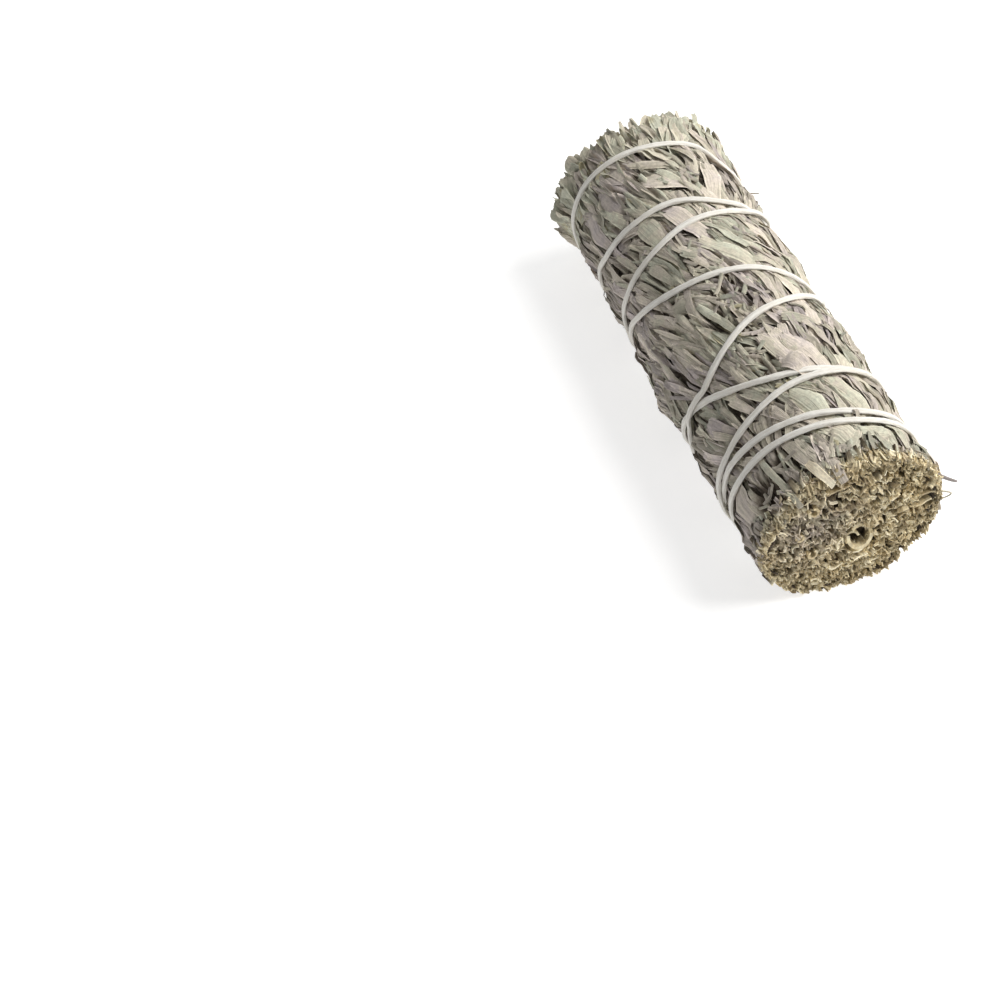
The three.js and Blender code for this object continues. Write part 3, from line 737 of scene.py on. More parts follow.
    def laid(self, cover: Cover) -> Shell:
        """The blades laid on the stick's side.

        Each row's middle is the root plus the sum of short steps along the bending heading, on the unrolled
        side. A point is set off from it across the heading, and its radius is the cover's, less the
        pockets and creases, plus its height, which is held down near the string. Just over the floor, a
        height z rises by room * exp(-z / fall) beside the string, which lies between leaves and floor.

        Args:
            cover: The surface that the heights are measured from.

        Returns:
            The blades' shell.
        """
        bundle = cover.bundle
        shift, across, height = self.form()
        heading = self.heading[:, None] + self.bend[:, None] * (self.ALONG[None] - 0.5)
        middle = (heading[:, 1:] + heading[:, :-1]) / 2
        step = self.length[:, None] * np.diff(self.ALONG)[None]
        start = np.zeros((len(self.length), 1))
        back = np.concatenate([start, np.cumsum(step * np.cos(middle), axis=1)], axis=1)
        round_ = np.concatenate([start, np.cumsum(step * np.sin(middle), axis=1)], axis=1)
        cos, sin = np.cos(heading)[:, :, None], np.sin(heading)[:, :, None]
        station = self.station[:, None, None] - back[:, :, None] - cos * shift + sin * across
        arc = round_[:, :, None] + sin * shift + cos * across
        angle = self.angle[:, None, None] + arc / bundle.side_radius
        level = cover.level(station, angle)
        nearest = cover.winding.gaps(station, angle, bundle.side_radius).min(axis=0)
        ceiling = mixed(-0.08, 0.32, smooth((nearest - 0.4) / 2.0)) + 0.9 * smooth((7 - station) / 5)
        height = np.where(height > ceiling, ceiling + 0.3 * np.tanh((height - ceiling) / 0.5), height)
        sunk = cover.bells(cover.pockets, station, angle) * smooth((1.2 - height) / 1.2)
        under = np.maximum(cover.crease_depth(station, angle), self.UNDER_BROAD * cover.under_broad(station, angle))
        sunk = sunk + under * (1 - self.firm[:, None, None])
        lifted = self.over_string()[:, None, None] * smooth(1.5 - np.abs(self.ALONG[None, :, None] - 0.5) * 4)
        radius = level - sunk + height + lifted
        # Painted shade: the deeper a point lies below the cover, the darker the material paints it, less so on the side
        # facing the key light.
        lit = np.cos(wrapped(angle - self.LIT_SIDE))
        depth = np.clip((level - radius - self.DARK_FROM) / (self.DARK_OVER + self.LIT_SIDE_SHADE_EASE * lit), 0, 1)
        depth = depth * smooth((station - 3) / 12)
        points = bundle.place(station, angle, radius)
        room = self.STRING_ROOM * (1 - smooth((nearest - 0.7) / 1.7))
        points[..., 2] += room * np.exp(-points[..., 2] / self.ROOM_FALL)
        return self.shell(points, depth)

    def over_string(self) -> Array:
        """How far blades that lie over the string are lifted: those whose middle height is above 1."""
        return np.where(self.mid_height > 1, self.mid_height, 0.0)


def drawn(random: np.random.Generator, count: int, low: float, high: float) -> Array:
    """Seeded draws, even between low and high."""
    return random.uniform(low, high, count)


@dataclass(frozen=True)
class SideLeaves:
    """The leaves on the stick's side: tufts, two layers under them, and the leaves that show whole.

    A tuft is a fan of narrow leaves whose roots lie close together. Where the side is curly, by round
    bells, leaves are short and wavy.
    """

    cover: Cover
    lie: Lie
    seed: int = 7
    curly: tuple[tuple[float, float, float, float], ...] = (
        (49.0, 112, 4.5, 1.0), (57.0, 100, 4.5, 1.0), (72.5, 112, 4.0, 1.0), (62.0, 98, 4.0, 0.8),
        (101.0, 98, 4.5, 0.8), (104.0, 145, 4.0, 0.7), (22.0, 92, 3.0, 0.6), (60.0, 240, 5.0, 0.8),
        (85.0, 280, 5.0, 0.8), (35.0, 330, 5.0, 0.8), (70.0, 10, 5.0, 0.8),
    )
    tuft_steps: tuple[float, float] = (6.0, 5.7)
    tuft_leaves: int = 10
    tuft_spread: float = 18.0
    backward_share: float = 0.16
    layers: tuple[tuple[float, float, float, float], ...] = ((7.0, 5.2, -0.8, 16.0), (8.6, 7.6, -1.35, 22.0))
    first_station: float = 12.0
    last_station: float = 105.0
    lowest_tip: float = 3.6
    face_limit: float = 107.3
    face_back: float = 3.6
    strap_limit: float = 107.6
    greenest_and_lit_side: float = math.radians(60)

    def scattered(self, random: np.random.Generator, along: float, round_: float) -> tuple[Array, Array]:
        """Places on a jittered grid over the side.

        Args:
            random: Where the draws come from.
            along: The grid's step along the stick.
            round_: Its step round the stick.

        Returns:
            Their stations and angles.
        """
        rows = round((self.last_station - self.first_station) / along)
        turns = round(TURN * self.cover.bundle.side_radius / round_)
        station, angle = np.meshgrid(np.linspace(self.first_station, self.last_station, rows),
                                     np.arange(turns) * TURN / turns)
        station = station.ravel() + drawn(random, station.size, -0.5, 0.5) * along
        return station, angle.ravel() + drawn(random, station.size, -0.5, 0.5) * TURN / turns

    def patch_tint(self, random: np.random.Generator, station: Array, angle: Array, stray: float) -> Array:
        """Tints that drift over the side from mauve to green, with their own stray."""
        drift = np.sin(0.21 * station + 3 * angle + 1.0) * np.sin(0.13 * station - 2 * angle + 4.0)
        side = 0.14 * np.cos(angle - self.greenest_and_lit_side)
        return np.clip(0.36 + side + 0.26 * drift + random.normal(0, stray, len(station)), 0, 1)

    def limits(self, random: np.random.Generator, angle: Array) -> tuple[Array, Array]:
        """The lowest and the highest station of leaves at angles."""
        high = self.face_limit - self.face_back * self.cover.chopped(angle)
        return np.full(len(angle), self.lowest_tip), high - np.abs(random.normal(0, 1.2, len(angle)))

    def tufts(self, random: np.random.Generator) -> Blades:
        """The tufts' leaves: each tuft spreads its leaves evenly over a fan about the lie."""
        bundle, each = self.cover.bundle, self.tuft_leaves
        station, angle = self.scattered(random, *self.tuft_steps)
        tufts = len(station)
        way = self.lie.heading(bundle, station, angle) + np.radians(random.normal(0, 8, tufts))
        way = way + np.where(random.random(tufts) < 0.05, np.radians(drawn(random, tufts, -70, 70)), 0.0)
        way = way + np.where(random.random(tufts) < self.backward_share, math.pi, 0.0)
        tint = self.patch_tint(random, station, angle, 0.16)
        # Painted light and shade: the cosine term makes tufts lighter on the side facing the key light and darker away
        # from it, besides their random tone.
        light = random.normal(0.505, 0.1, tufts) + 0.135 * np.cos(angle - self.greenest_and_lit_side)
        lift = random.normal(-0.14, 0.2, tufts)
        way, tint, light, lift = (np.repeat(values, each) for values in (way, tint, light, lift))
        count = tufts * each
        order = np.tile(np.linspace(-1, 1, each), tufts) + drawn(random, count, -0.16, 0.16)
        heading = way + np.radians(self.tuft_spread) * order * drawn(random, count, 0.7, 1.2)
        length = drawn(random, count, 9, 17) * (1 - 0.22 * order**2)
        aside = order * 1.7 + random.normal(0, 0.4, count)
        behind = 5.5 + random.normal(0, 0.9, count)
        lift = lift + drawn(random, count, -0.5, 0.26)
        shape = random.random(count)
        curly = self.cover.bells(self.curly, np.repeat(station, each), np.repeat(angle, each))
        blades = Blades(
            station=np.repeat(station, each) + behind * np.cos(way) + aside * np.sin(way),
            angle=np.repeat(angle, each) + (aside * np.cos(way) - behind * np.sin(way)) / bundle.side_radius,
            heading=heading + curly * random.normal(0, 0.3, count),
            bend=np.radians(random.normal(0, 14, count) * (1 + 1.3 * curly)),
            length=length * (1 - 0.4 * curly),
            width=np.clip(np.exp(random.normal(math.log(1.3), 0.36, count)), 0.6, 3.0),
            root_share=drawn(random, count, 0.2, 0.45),
            belly=np.where(shape < 0.6, drawn(random, count, 0.74, 0.86), drawn(random, count, 0.45, 0.65)),
            tip_share=np.where(shape < 0.6, drawn(random, count, 0.7, 0.95), drawn(random, count, 0.1, 0.3)),
            teeth=np.where(shape < 0.6, drawn(random, count, 0.4, 1.0), 0.0),
            root_height=lift - drawn(random, count, 0.5, 0.95),
            mid_height=lift,
            tip_height=lift + drawn(random, count, -0.15, 0.3),
            roll=np.radians(random.normal(0, 13, count)),
            fold=np.where(random.random(count) < 0.14, drawn(random, count, 0.4, 0.9), 0.0),
            cup=np.where(random.random(count) < 0.76, drawn(random, count, -0.75, -0.3),
                         drawn(random, count, 0.1, 0.45)),
            ripple=drawn(random, count, 0.0, 0.08) + 0.2 * curly,
            thickness=drawn(random, count, 0.24, 0.36),
            tint=np.clip(tint + random.normal(0, 0.1, count), 0, 1),
            light=np.clip(light + random.normal(0, 0.17, count), 0, 1),
            cut=np.zeros(count),
            firm=np.zeros(count),
        )
        return blades.trimmed(random, *self.limits(random, blades.angle), bundle.side_radius)

    def layer(self, random: np.random.Generator, along: float, round_: float, height: float,
              stray: float) -> Blades:
        """A layer of leaves under the tufts.

        Args:
            random: Where the draws come from.
            along: The grid's step along the stick.
            round_: Its step round the stick.
            height: The leaves' mean height from the cover.
            stray: How far headings stray from the lie, in degrees.

        Returns:
            The layer's blades.
        """
        bundle = self.cover.bundle
        spots = [self.scattered(random, along, round_) for _ in range(2)]
        station, angle = (np.concatenate(values) for values in zip(*spots))
        count = len(station)
        heading = self.lie.heading(bundle, station, angle) + np.radians(random.normal(0, stray, count))
        heading = heading + np.where(random.random(count) < 0.3, math.pi, 0.0)
        length = drawn(random, count, 9, 17)
        lift = height + drawn(random, count, -0.25, 0.25)
        blades = Blades(
            station=station + length / 2 * np.cos(heading),
            angle=angle - length / 2 * np.sin(heading) / bundle.side_radius,
            heading=heading,
            bend=np.radians(random.normal(0, 16, count)),
            length=length,
            width=drawn(random, count, 1.8, 4.0),
            root_share=drawn(random, count, 0.3, 0.5),
            belly=drawn(random, count, 0.5, 0.85),
            tip_share=drawn(random, count, 0.2, 0.9),
            teeth=drawn(random, count, 0.0, 0.9),
            root_height=lift - 0.3,
            mid_height=lift,
            tip_height=lift + drawn(random, count, -0.2, 0.3),
            roll=np.radians(random.normal(0, 9, count)),
            fold=drawn(random, count, -0.1, 0.2),
            cup=drawn(random, count, -0.5, 0.2),
            ripple=drawn(random, count, 0.0, 0.1),
            thickness=drawn(random, count, 0.26, 0.38),
            tint=self.patch_tint(random, station, angle, 0.2),
            light=np.clip(random.normal(0.46, 0.16, count), 0, 1),
            cut=np.zeros(count),
            firm=np.zeros(count),
        )
        return blades.trimmed(random, *self.limits(random, blades.angle), bundle.side_radius)

    def straps(self, random: np.random.Generator, station: Array, angle: Array, heading: Array, length: Array,
               width: Array, tint: Array, light: Array, height: Array) -> Blades:
        """Leaves that show whole, on top of the others.

        Args:
            random: Where the draws come from.
            station: The middles' stations.
            angle: Their angles, in radians.
            heading: Headings, in radians.
            length: Lengths.
            width: Widths.
            tint: Tints.
            light: Lightnesses.
            height: Heights from the cover.

        Returns:
            The blades.
        """
        count, bundle = len(station), self.cover.bundle
        blades = Blades(
            station=station + length / 2 * np.cos(heading),
            angle=angle - length / 2 * np.sin(heading) / bundle.side_radius,
            heading=heading,
            bend=np.radians(random.normal(0, 9, count)),
            length=length,
            width=width,
            root_share=drawn(random, count, 0.5, 0.75),
            belly=drawn(random, count, 0.45, 0.7),
            tip_share=drawn(random, count, 0.5, 0.85),
            teeth=drawn(random, count, 0.4, 1.2),
            root_height=height - 0.55,
            mid_height=height + 0.04,
            tip_height=np.minimum(height, 0.0) - 0.05,
            roll=np.radians(random.normal(0, 4, count)),
            fold=drawn(random, count, -0.06, 0.06),
            cup=drawn(random, count, -0.3, 0.05),
            ripple=drawn(random, count, 0.03, 0.1),
            thickness=drawn(random, count, 0.32, 0.42),
            tint=tint,
            light=light,
            cut=np.where((height > 0.5) & (station > 100), 0.6, 0.0),
            firm=np.ones(count),
        )
        return blades.trimmed(random, np.full(count, 0.6), np.full(count, self.strap_limit), bundle.side_radius)

    def broad_leaves(self, random: np.random.Generator) -> Blades:
        """The broad leaves."""
        station, angle, heading, length, width, tint, light, height = np.array(self.cover.broad).T
        return self.straps(random, station, np.radians(angle), np.radians(heading), length, width, tint, light,
                           height)

    def crease_leaves(self, random: np.random.Generator) -> Blades:
        """The leaves along the creases, each on its side of one, with its edge on the dark line."""
        start, from_degrees, end, to_degrees, reach, _, side = self.cover.all_creases().T
        radius = self.cover.bundle.side_radius
        run, rise = end - start, np.radians(to_degrees - from_degrees) * radius
        length = np.hypot(run, rise)
        heading = np.arctan2(-rise, run)
        width = drawn(random, len(start), 1.3, 2.6)
        aside = side * (width / 2 + 0.35 * reach)
        station = (start + end) / 2 + aside * np.sin(heading)
        angle = np.radians(from_degrees + to_degrees) / 2 + aside * np.cos(heading) / radius
        tint = self.patch_tint(random, station, angle, 0.12)
        light = np.clip(random.normal(0.66, 0.12, len(start)), 0, 1)
        return self.straps(random, station, angle, heading, length + drawn(random, len(start), 1.0, 4.0), width,
                           tint, light, drawn(random, len(start), 0.0, 0.15))

    def build(self) -> Blades:
        """All the side's blades."""
        random = np.random.default_rng(self.seed)
        under = [self.layer(random, *layer) for layer in self.layers]
        return Blades.joined([self.tufts(random), *under, self.broad_leaves(random), self.crease_leaves(random)])


@dataclass(frozen=True)
class LeafyEnd:
    """The leaf tips at the leafy end: rings of tips round the side, and rows that fill the end.

    A ring has the station that its tips reach, its height from the cover and its count of tips. The rows
    stand evenly from the outer one to the inner one, and their reaches repeat.
    """

    cover: Cover
    seed: int = 12
    rings: tuple[tuple[float, float, int], ...] = (
        (6.8, -0.1, 40), (5.2, -0.1, 44), (3.8, -0.05, 46), (2.5, -0.1, 46), (1.3, -0.4, 46), (0.4, -1.0, 44),
        (-0.3, -1.9, 44),
    )
    outer_row: float = 17.2
    inner_row: float = 0.7
    row_count: int = 14
    row_reach: tuple[float, ...] = (-0.4, 1.0, 0.2)
    row_space: float = 1.75
    lowest_tip: float = -2.6
    short_middle: float = math.radians(92)
    short_spread: float = math.radians(48)
    short_by: float = 1.9

    def short(self, angle: Array) -> Array:
        """How much shorter the tips are at angles: most on top, by a bell curve."""
        return self.short_by * np.exp(-(wrapped(angle - self.short_middle) / self.short_spread) ** 2)

    def blades(self, random: np.random.Generator, tip: Array, length: Array, lift: Array) -> Blades:
        """Tips as blades that curl outward and end in rounded teeth.

        Args:
            random: Where the draws come from.
            tip: The stations that they reach.
            length: Their lengths.
            lift: Their heights.

        Returns:
            The blades, all at angle 0.
        """
        count = len(tip)
        rounded = random.random(count) < 0.75
        tip = np.maximum(tip, self.lowest_tip)
        heading = np.radians(random.normal(0, 15, count))
        return Blades(
            station=tip + length * np.cos(heading),
            angle=np.zeros(count),
            heading=heading,
            bend=np.radians(random.normal(0, 26, count)),
            length=length,
            width=np.clip(np.exp(random.normal(math.log(2.1), 0.32, count)), 1.0, 3.8),
            root_share=drawn(random, count, 0.3, 0.5),
            belly=np.where(rounded, drawn(random, count, 0.8, 0.9), drawn(random, count, 0.55, 0.7)),
            tip_share=np.where(rounded, drawn(random, count, 0.45, 0.75), drawn(random, count, 0.1, 0.3)),
            teeth=np.where(rounded, drawn(random, count, 0.1, 0.6), 0.0),
            root_height=lift - 1.1,
            mid_height=lift - 0.25,
            tip_height=lift + drawn(random, count, -0.9, 0.8),
            roll=np.radians(random.normal(0, 18, count)),
            fold=drawn(random, count, -0.3, 0.8),
            cup=drawn(random, count, -1.1, 0.8),
            ripple=drawn(random, count, 0.0, 0.3),
            thickness=drawn(random, count, 0.28, 0.42),
            tint=np.clip(random.normal(0.66, 0.16, count), 0, 1),
            light=np.clip(random.normal(0.66, 0.18, count), 0, 1),
            cut=np.zeros(count),
            firm=np.ones(count),
        )

    def ring_blades(self) -> Blades:
        """The rings of tips round the side, as blades to lay on it."""
        random = np.random.default_rng(self.seed)
        reach = np.concatenate([np.full(count, reach) for reach, _, count in self.rings])
        height = np.concatenate([np.full(count, height) for _, height, count in self.rings])
        angle = np.concatenate([(np.arange(count) + offset / 3) * TURN / count
                                for offset, (_, _, count) in enumerate(self.rings)])
        count = len(reach)
        blades = self.blades(random, reach + self.short(angle) + random.normal(0, 0.9, count),
                             drawn(random, count, 6, 11), height + drawn(random, count, -0.6, 0.3))
        turned = blades.length * np.sin(blades.heading) / self.cover.bundle.side_radius
        blades.angle = angle + drawn(random, count, -0.06, 0.06) - turned
        return blades

    def standing(self) -> tuple[Blades, Array, Array]:
        """The rows that fill the end.

        Returns:
            The blades, with the angle and the radius at which each stands.
        """
        random = np.random.default_rng(self.seed + 1)
        radii = np.linspace(self.outer_row, self.inner_row, self.row_count)
        counts = np.ceil(TURN * radii / self.row_space).astype(int)
        radius, reach = (np.repeat(values, counts) for values in (radii, np.resize(self.row_reach, self.row_count)))
        angle = np.concatenate([(np.arange(count) + 0.5 * (row % 2)) * TURN / count
                                for row, count in enumerate(counts)])
        count = len(radius)
        short = self.short(angle) * (radius / self.outer_row) ** 2
        blades = self.blades(random, reach + short + random.normal(0, 0.9, count), drawn(random, count, 8, 11),
                             np.full(count, 0.1))
        blades.heading = random.normal(0, 0.9, count)
        blades.bend = drawn(random, count, -0.3, 0.3) * np.minimum(1.0, (18.2 - radius) / 4)
        return blades, angle + drawn(random, count, -0.1, 0.1), radius + drawn(random, count, -0.6, 0.6)

    def stand(self, blades: Blades, angle: Array, radius: Array) -> Shell:
        """The rows' blades as a shell.

        A blade grows towards -X, leaning by its bend. Its width runs round the stick, turned by its
        heading, and its face looks away from the axis.

        Args:
            blades: The blades.
            angle: Where each stands.
            radius: How far from the axis.

        Returns:
            Their shell.
        """
        bundle = self.cover.bundle
        shift, across, height = blades.form()
        along = blades.ALONG[None, :, None] * blades.length[:, None, None] + shift
        turned = (angle + blades.heading)[:, None, None]
        lean = blades.bend[:, None, None] * along * blades.ALONG[None, :, None]
        outward_y, outward_z = np.cos(turned), np.sin(turned)
        y = (radius * np.cos(angle))[:, None, None] + outward_y * (height + lean) - outward_z * across
        z = (radius * np.sin(angle))[:, None, None] + outward_z * (height + lean) + outward_y * across
        x = blades.station[:, None, None] - along - bundle.length / 2
        points = np.stack([x, y, bundle.pressed(z + bundle.axis_height)], axis=-1)
        # Painted shade: the rows darken with their distance into the stick from the leafy tips.
        depth = np.clip((blades.station[:, None, None] - along - 2.2) / 6.0, 0, 0.85)
        return blades.shell(points, depth)


@dataclass
class Strips:
    """Curled strips of leaf, with one value of each array for each strip.

    A strip ends at its end point and runs back along its axis. Its section is an arc of a circle, a sheet's
    thickness wide, that turns by curl over its width. Its end is ragged. Bright is the length behind its end
    that light reaches.
    """

    end: Array
    axis: Array
    chord: Array
    length: Array
    width: Array
    curl: Array
    thickness: Array
    bow: Array
    ragged: Array
    tint: Array
    light: Array
    cut: Array
    bright: Array

    ALONG = np.array([0.0, 0.6, 1.0])
    DARK_OVER = 1.4
    COARSE = 4
    FINE = 17

    def taken(self, chosen: Array) -> Strips:
        """The strips that a mask chooses."""
        return Strips(**{entry.name: getattr(self, entry.name)[chosen] for entry in fields(self)})

    @staticmethod
    def joined(sets: list[Strips]) -> Strips:
        """All the strips of several sets."""
        return Strips(**{entry.name: np.concatenate([getattr(each, entry.name) for each in sets])
                         for entry in fields(Strips)})

    def shell(self, bundle: Bundle, wide: int) -> Shell:
        """The strips' shell.

        At a share v of its width, the arc has turned by t = curl * v / 2 and lies at r * sin(t) along the
        chord and r * (1 - cos(t)) away from it, where r is the width over the curl.

        Args:
            bundle: The stick's form, for the floor.
            wide: Points across a strip.

        Returns:
            The shell, facing outward.
        """
        count, rows = len(self.length), len(self.ALONG)
        across = np.linspace(-1, 1, wide)
        side = np.cross(self.axis, self.chord)
        u = self.ALONG[None, :, None]
        turn = (self.curl[:, None, None] * across[None, None] / 2) * (0.7 + 0.3 * u)
        radius = (self.width / self.curl)[:, None, None]
        chord = radius * np.sin(turn)
        away = radius * (1 - np.cos(turn)) - radius * (1 - np.cos(self.curl / 3))[:, None, None]
        half = self.thickness[:, None, None] / 2
        chord = np.concatenate([chord - half * np.sin(turn), (chord + half * np.sin(turn))[..., ::-1]], axis=-1)
        away = np.concatenate([away + half * np.cos(turn), (away - half * np.cos(turn))[..., ::-1]], axis=-1)
        known = np.linspace(-1, 1, self.ragged.shape[1])
        between = np.clip(np.searchsorted(known, across, side="right") - 1, 0, len(known) - 2)
        share = (across - known[between]) / (known[1] - known[0])
        rag = mixed(self.ragged[:, between], self.ragged[:, between + 1], share[None])
        rag = np.concatenate([rag, rag[:, ::-1]], axis=-1)[:, None]
        back = (u - 1) * self.length[:, None, None] + rag * (u > 0.99)
        away = away + self.bow[:, None, None] * self.length[:, None, None] * (2 * u - 1) ** 2
        points = (self.end[:, None, None] + back[..., None] * self.axis[:, None, None]
                  + chord[..., None] * self.chord[:, None, None] + away[..., None] * side[:, None, None])
        points[..., 2] = bundle.pressed(points[..., 2])
        around = 2 * wide
        first = np.arange(wide - 1)
        cap = np.stack([first, first + 1, around - 2 - first, around - 1 - first], axis=-1)
        caps = np.concatenate([cap[:, ::-1], cap + (rows - 1) * around])
        quads = np.concatenate([grid_quads(count, rows, around), repeated(caps, count, rows * around)])
        shape = points.shape[:3]
        v = np.concatenate([across, across[::-1]])[None, None] / 2 + 0.5
        uv = np.stack([np.broadcast_to(u * self.length[:, None, None] / 10, shape),
                       np.broadcast_to(v, shape)], axis=-1)
        # Painted shade: each strip darkens back from its end, past the length that light reaches.
        depth = np.clip((-back - self.bright[:, None, None]) / self.DARK_OVER, 0, 1)
        traits = np.stack([np.broadcast_to(self.tint[:, None, None], shape),
                           np.broadcast_to(self.light[:, None, None], shape), depth], axis=-1)
        cut = np.broadcast_to(self.cut[:, None, None], shape)
        return Shell(points.reshape(-1, 3), quads, np.zeros((0, 3), int), uv.reshape(-1, 2),
                     traits.reshape(-1, 3), cut.ravel()).facing_out()


def cross_frames(axis: Array, turn: Array) -> Array:
    """Unit vectors square to axes, turned about them.

    Args:
        axis: Unit axes.
        turn: Angles about the axes.

    Returns:
        Unit vectors, one for each axis.
    """
    helper = np.where(np.abs(axis[:, :1]) > 0.7, np.array([[0.0, 1.0, 0.0]]), np.array([[1.0, 0.0, 0.0]]))
    first = unit(np.cross(axis, helper))
    second = np.cross(axis, first)
    return np.cos(turn)[:, None] * first + np.sin(turn)[:, None] * second


@dataclass(frozen=True)
class CutEnd:
    """The chopped end: leaf strips cut across, seen end on, with loose curls and crumbs among them.

    A curl that shows plainly has its place on the face in millimetres from the axis (y and z), the angle of
    its chord in degrees, its width, its curl in radians, its lightness, how far it stands out and how far
    it leans up. A hole has its place, its reach and its depth.
    """

    cover: Cover
    seed: int = 23
    strip_spacing: float = 0.88
    crumb_spacing: float = 1.35
    face_station: float = 107.1
    farthest: float = 108.3
    dome: float = 0.5
    chopped_fall: float = 2.3
    stand_out: float = 0.4
    shown: tuple[tuple[float, ...], ...] = (
        (1.3, -3.2, 60, 14.0, 5.7, 0.75, 0.45, 0.38), (0.4, -3.9, 210, 5.0, 3.6, 0.7, -0.2, 0.2),
        (1.4, -6.5, 12, 4.2, 1.4, 1.0, 1.3), (-2.4, -10.7, 12, 3.4, 1.8, 1.0, 0.9),
        (2.6, -9.4, 20, 3.0, 0.5, 1.0, 1.1), (-17.2, 3.2, 60, 2.0, 1.0, 1.0, 0.7), (4.6, 0.2, 120, 3.0, 1.2, 0.9, 0.6),
        (-2.8, -3.4, 260, 3.0, 1.0, 0.8, 0.6), (-9.3, 8.0, 30, 5.2, 5.6, 0.7, 0.6), (-8.1, -4.4, 10, 5.0, 5.4, 0.7, 0.6),
        (-4.4, 11.6, 8, 5.0, 1.2, 0.5, 0.7), (14.9, 3.9, 172, 5.2, 0.5, 0.45, 0.5), (14.4, 1.2, 8, 4.4, 0.6, 0.8, 0.5),
        (8.0, 5.5, 30, 2.6, 2.2, 0.95, 0.5), (10.4, -3.0, 60, 2.4, 1.8, 0.95, 0.5), (-13.0, -4.0, 110, 2.6, 2.4, 0.9, 0.5),
        (-6.0, -14.0, 150, 3.0, 1.4, 1.0, 0.5), (6.5, -12.5, 40, 2.6, 2.6, 0.9, 0.5), (-1.6, 4.0, 75, 2.4, 3.0, 0.85, 0.5),
        (3.6, 9.4, 140, 2.2, 2.6, 0.9, 0.5), (12.0, 8.5, 120, 2.4, 1.6, 0.9, 0.5), (-11.5, 1.5, 20, 3.4, 4.6, 0.65, 0.5),
    )
    holes: tuple[tuple[float, float, float, float], ...] = (
        (-4.4, 9.8, 1.7, 2.6), (15.3, 2.5, 1.6, 2.4), (-8.1, -5.0, 1.0, 2.0), (1.4, -2.9, 2.0, 3.4),
        (-9.3, 8.6, 1.0, 2.0), (6.4, -1.4, 0.9, 1.6), (-12.6, -8.0, 0.9, 1.6), (9.5, -9.8, 1.0, 1.6),
        (-14.2, 6.0, 1.0, 1.8), (4.0, 13.2, 1.0, 1.6), (-2.6, -7.6, 0.8, 1.8), (9.0, 1.4, 0.8, 1.4),
        (-15.5, -1.5, 1.0, 1.8), (-6.0, 4.5, 0.8, 1.6), (-11.0, 4.2, 0.9, 1.8), (-4.5, -4.0, 0.8, 1.6),
        (0.5, 3.0, 0.8, 1.4), (6.0, -6.5, 0.9, 1.6), (-9.5, -11.5, 0.9, 1.6),
    )

    clear: tuple[tuple[float, float, float], ...] = (
        (1.3, -3.4, 2.9), (-9.3, 8.3, 1.2), (-8.1, -4.7, 1.1), (-4.4, 10.0, 1.3), (15.1, 2.6, 1.3),
    )
    grey: tuple[float, float, float] = (-9.0, 3.0, 8.5)

    def hollow(self, y: Array, z: Array) -> Array:
        """How far the face is sunk at places on it: a bell for each hole."""
        return sum(sunk * np.exp(-((y - at_y) ** 2 + (z - at_z) ** 2) / reach**2)
                   for at_y, at_z, reach, sunk in self.holes)

    def face(self, y: Array, z: Array) -> Array:
        """The station of the face at places on it.

        The face is a little domed: it falls back with the square of the distance from the axis, more where
        it is chopped back. It has slow swells, and its holes are sunk.
        """
        radius = np.hypot(y, z)
        chopped = self.cover.chopped(np.arctan2(z, y))
        fall = (self.dome + self.chopped_fall * chopped) * (radius / 18.0) ** 2.5
        swells = 0.28 * np.sin(0.55 * y + 1.0) * np.sin(0.62 * z + 0.4) + 0.18 * np.sin(1.15 * y - 0.8 * z)
        return self.face_station - fall + swells - self.hollow(y, z)

    def spots(self, random: np.random.Generator, spacing: float, rim: float) -> tuple[Array, Array]:
        """Places on the face, on a jittered grid out to the rim.

        Args:
            random: Where the draws come from.
            spacing: The grid's step.
            rim: How far inside the cover the outermost places lie.

        Returns:
            Their y and z from the axis.
        """
        span = np.arange(-20.5, 20.5, spacing)
        y, z = (grid.ravel() for grid in np.meshgrid(span, span))
        y = y + drawn(random, len(y), -0.5, 0.5) * spacing
        z = z + drawn(random, len(z), -0.5, 0.5) * spacing
        angle = np.arctan2(z, y)
        limit = self.cover.level(np.full(len(y), 105.0), angle) - rim
        inside = np.hypot(y, z) < limit
        for at_y, at_z, reach in self.clear:
            inside &= np.hypot(y - at_y, z - at_z) > reach
        return y[inside], z[inside]

    def greyness(self, y: Array, z: Array) -> Array:
        """How grey the bits are at places: a bell round the greyest place."""
        at_y, at_z, reach = self.grey
        return np.exp(-((y - at_y) ** 2 + (z - at_z) ** 2) / reach**2)

    def at(self, station: Array, y: Array, z: Array) -> Array:
        """Points at stations, and at y and z from the axis."""
        x = np.minimum(station, self.farthest) - self.cover.bundle.length / 2
        return np.stack([x, y, z + self.cover.bundle.axis_height], axis=-1)

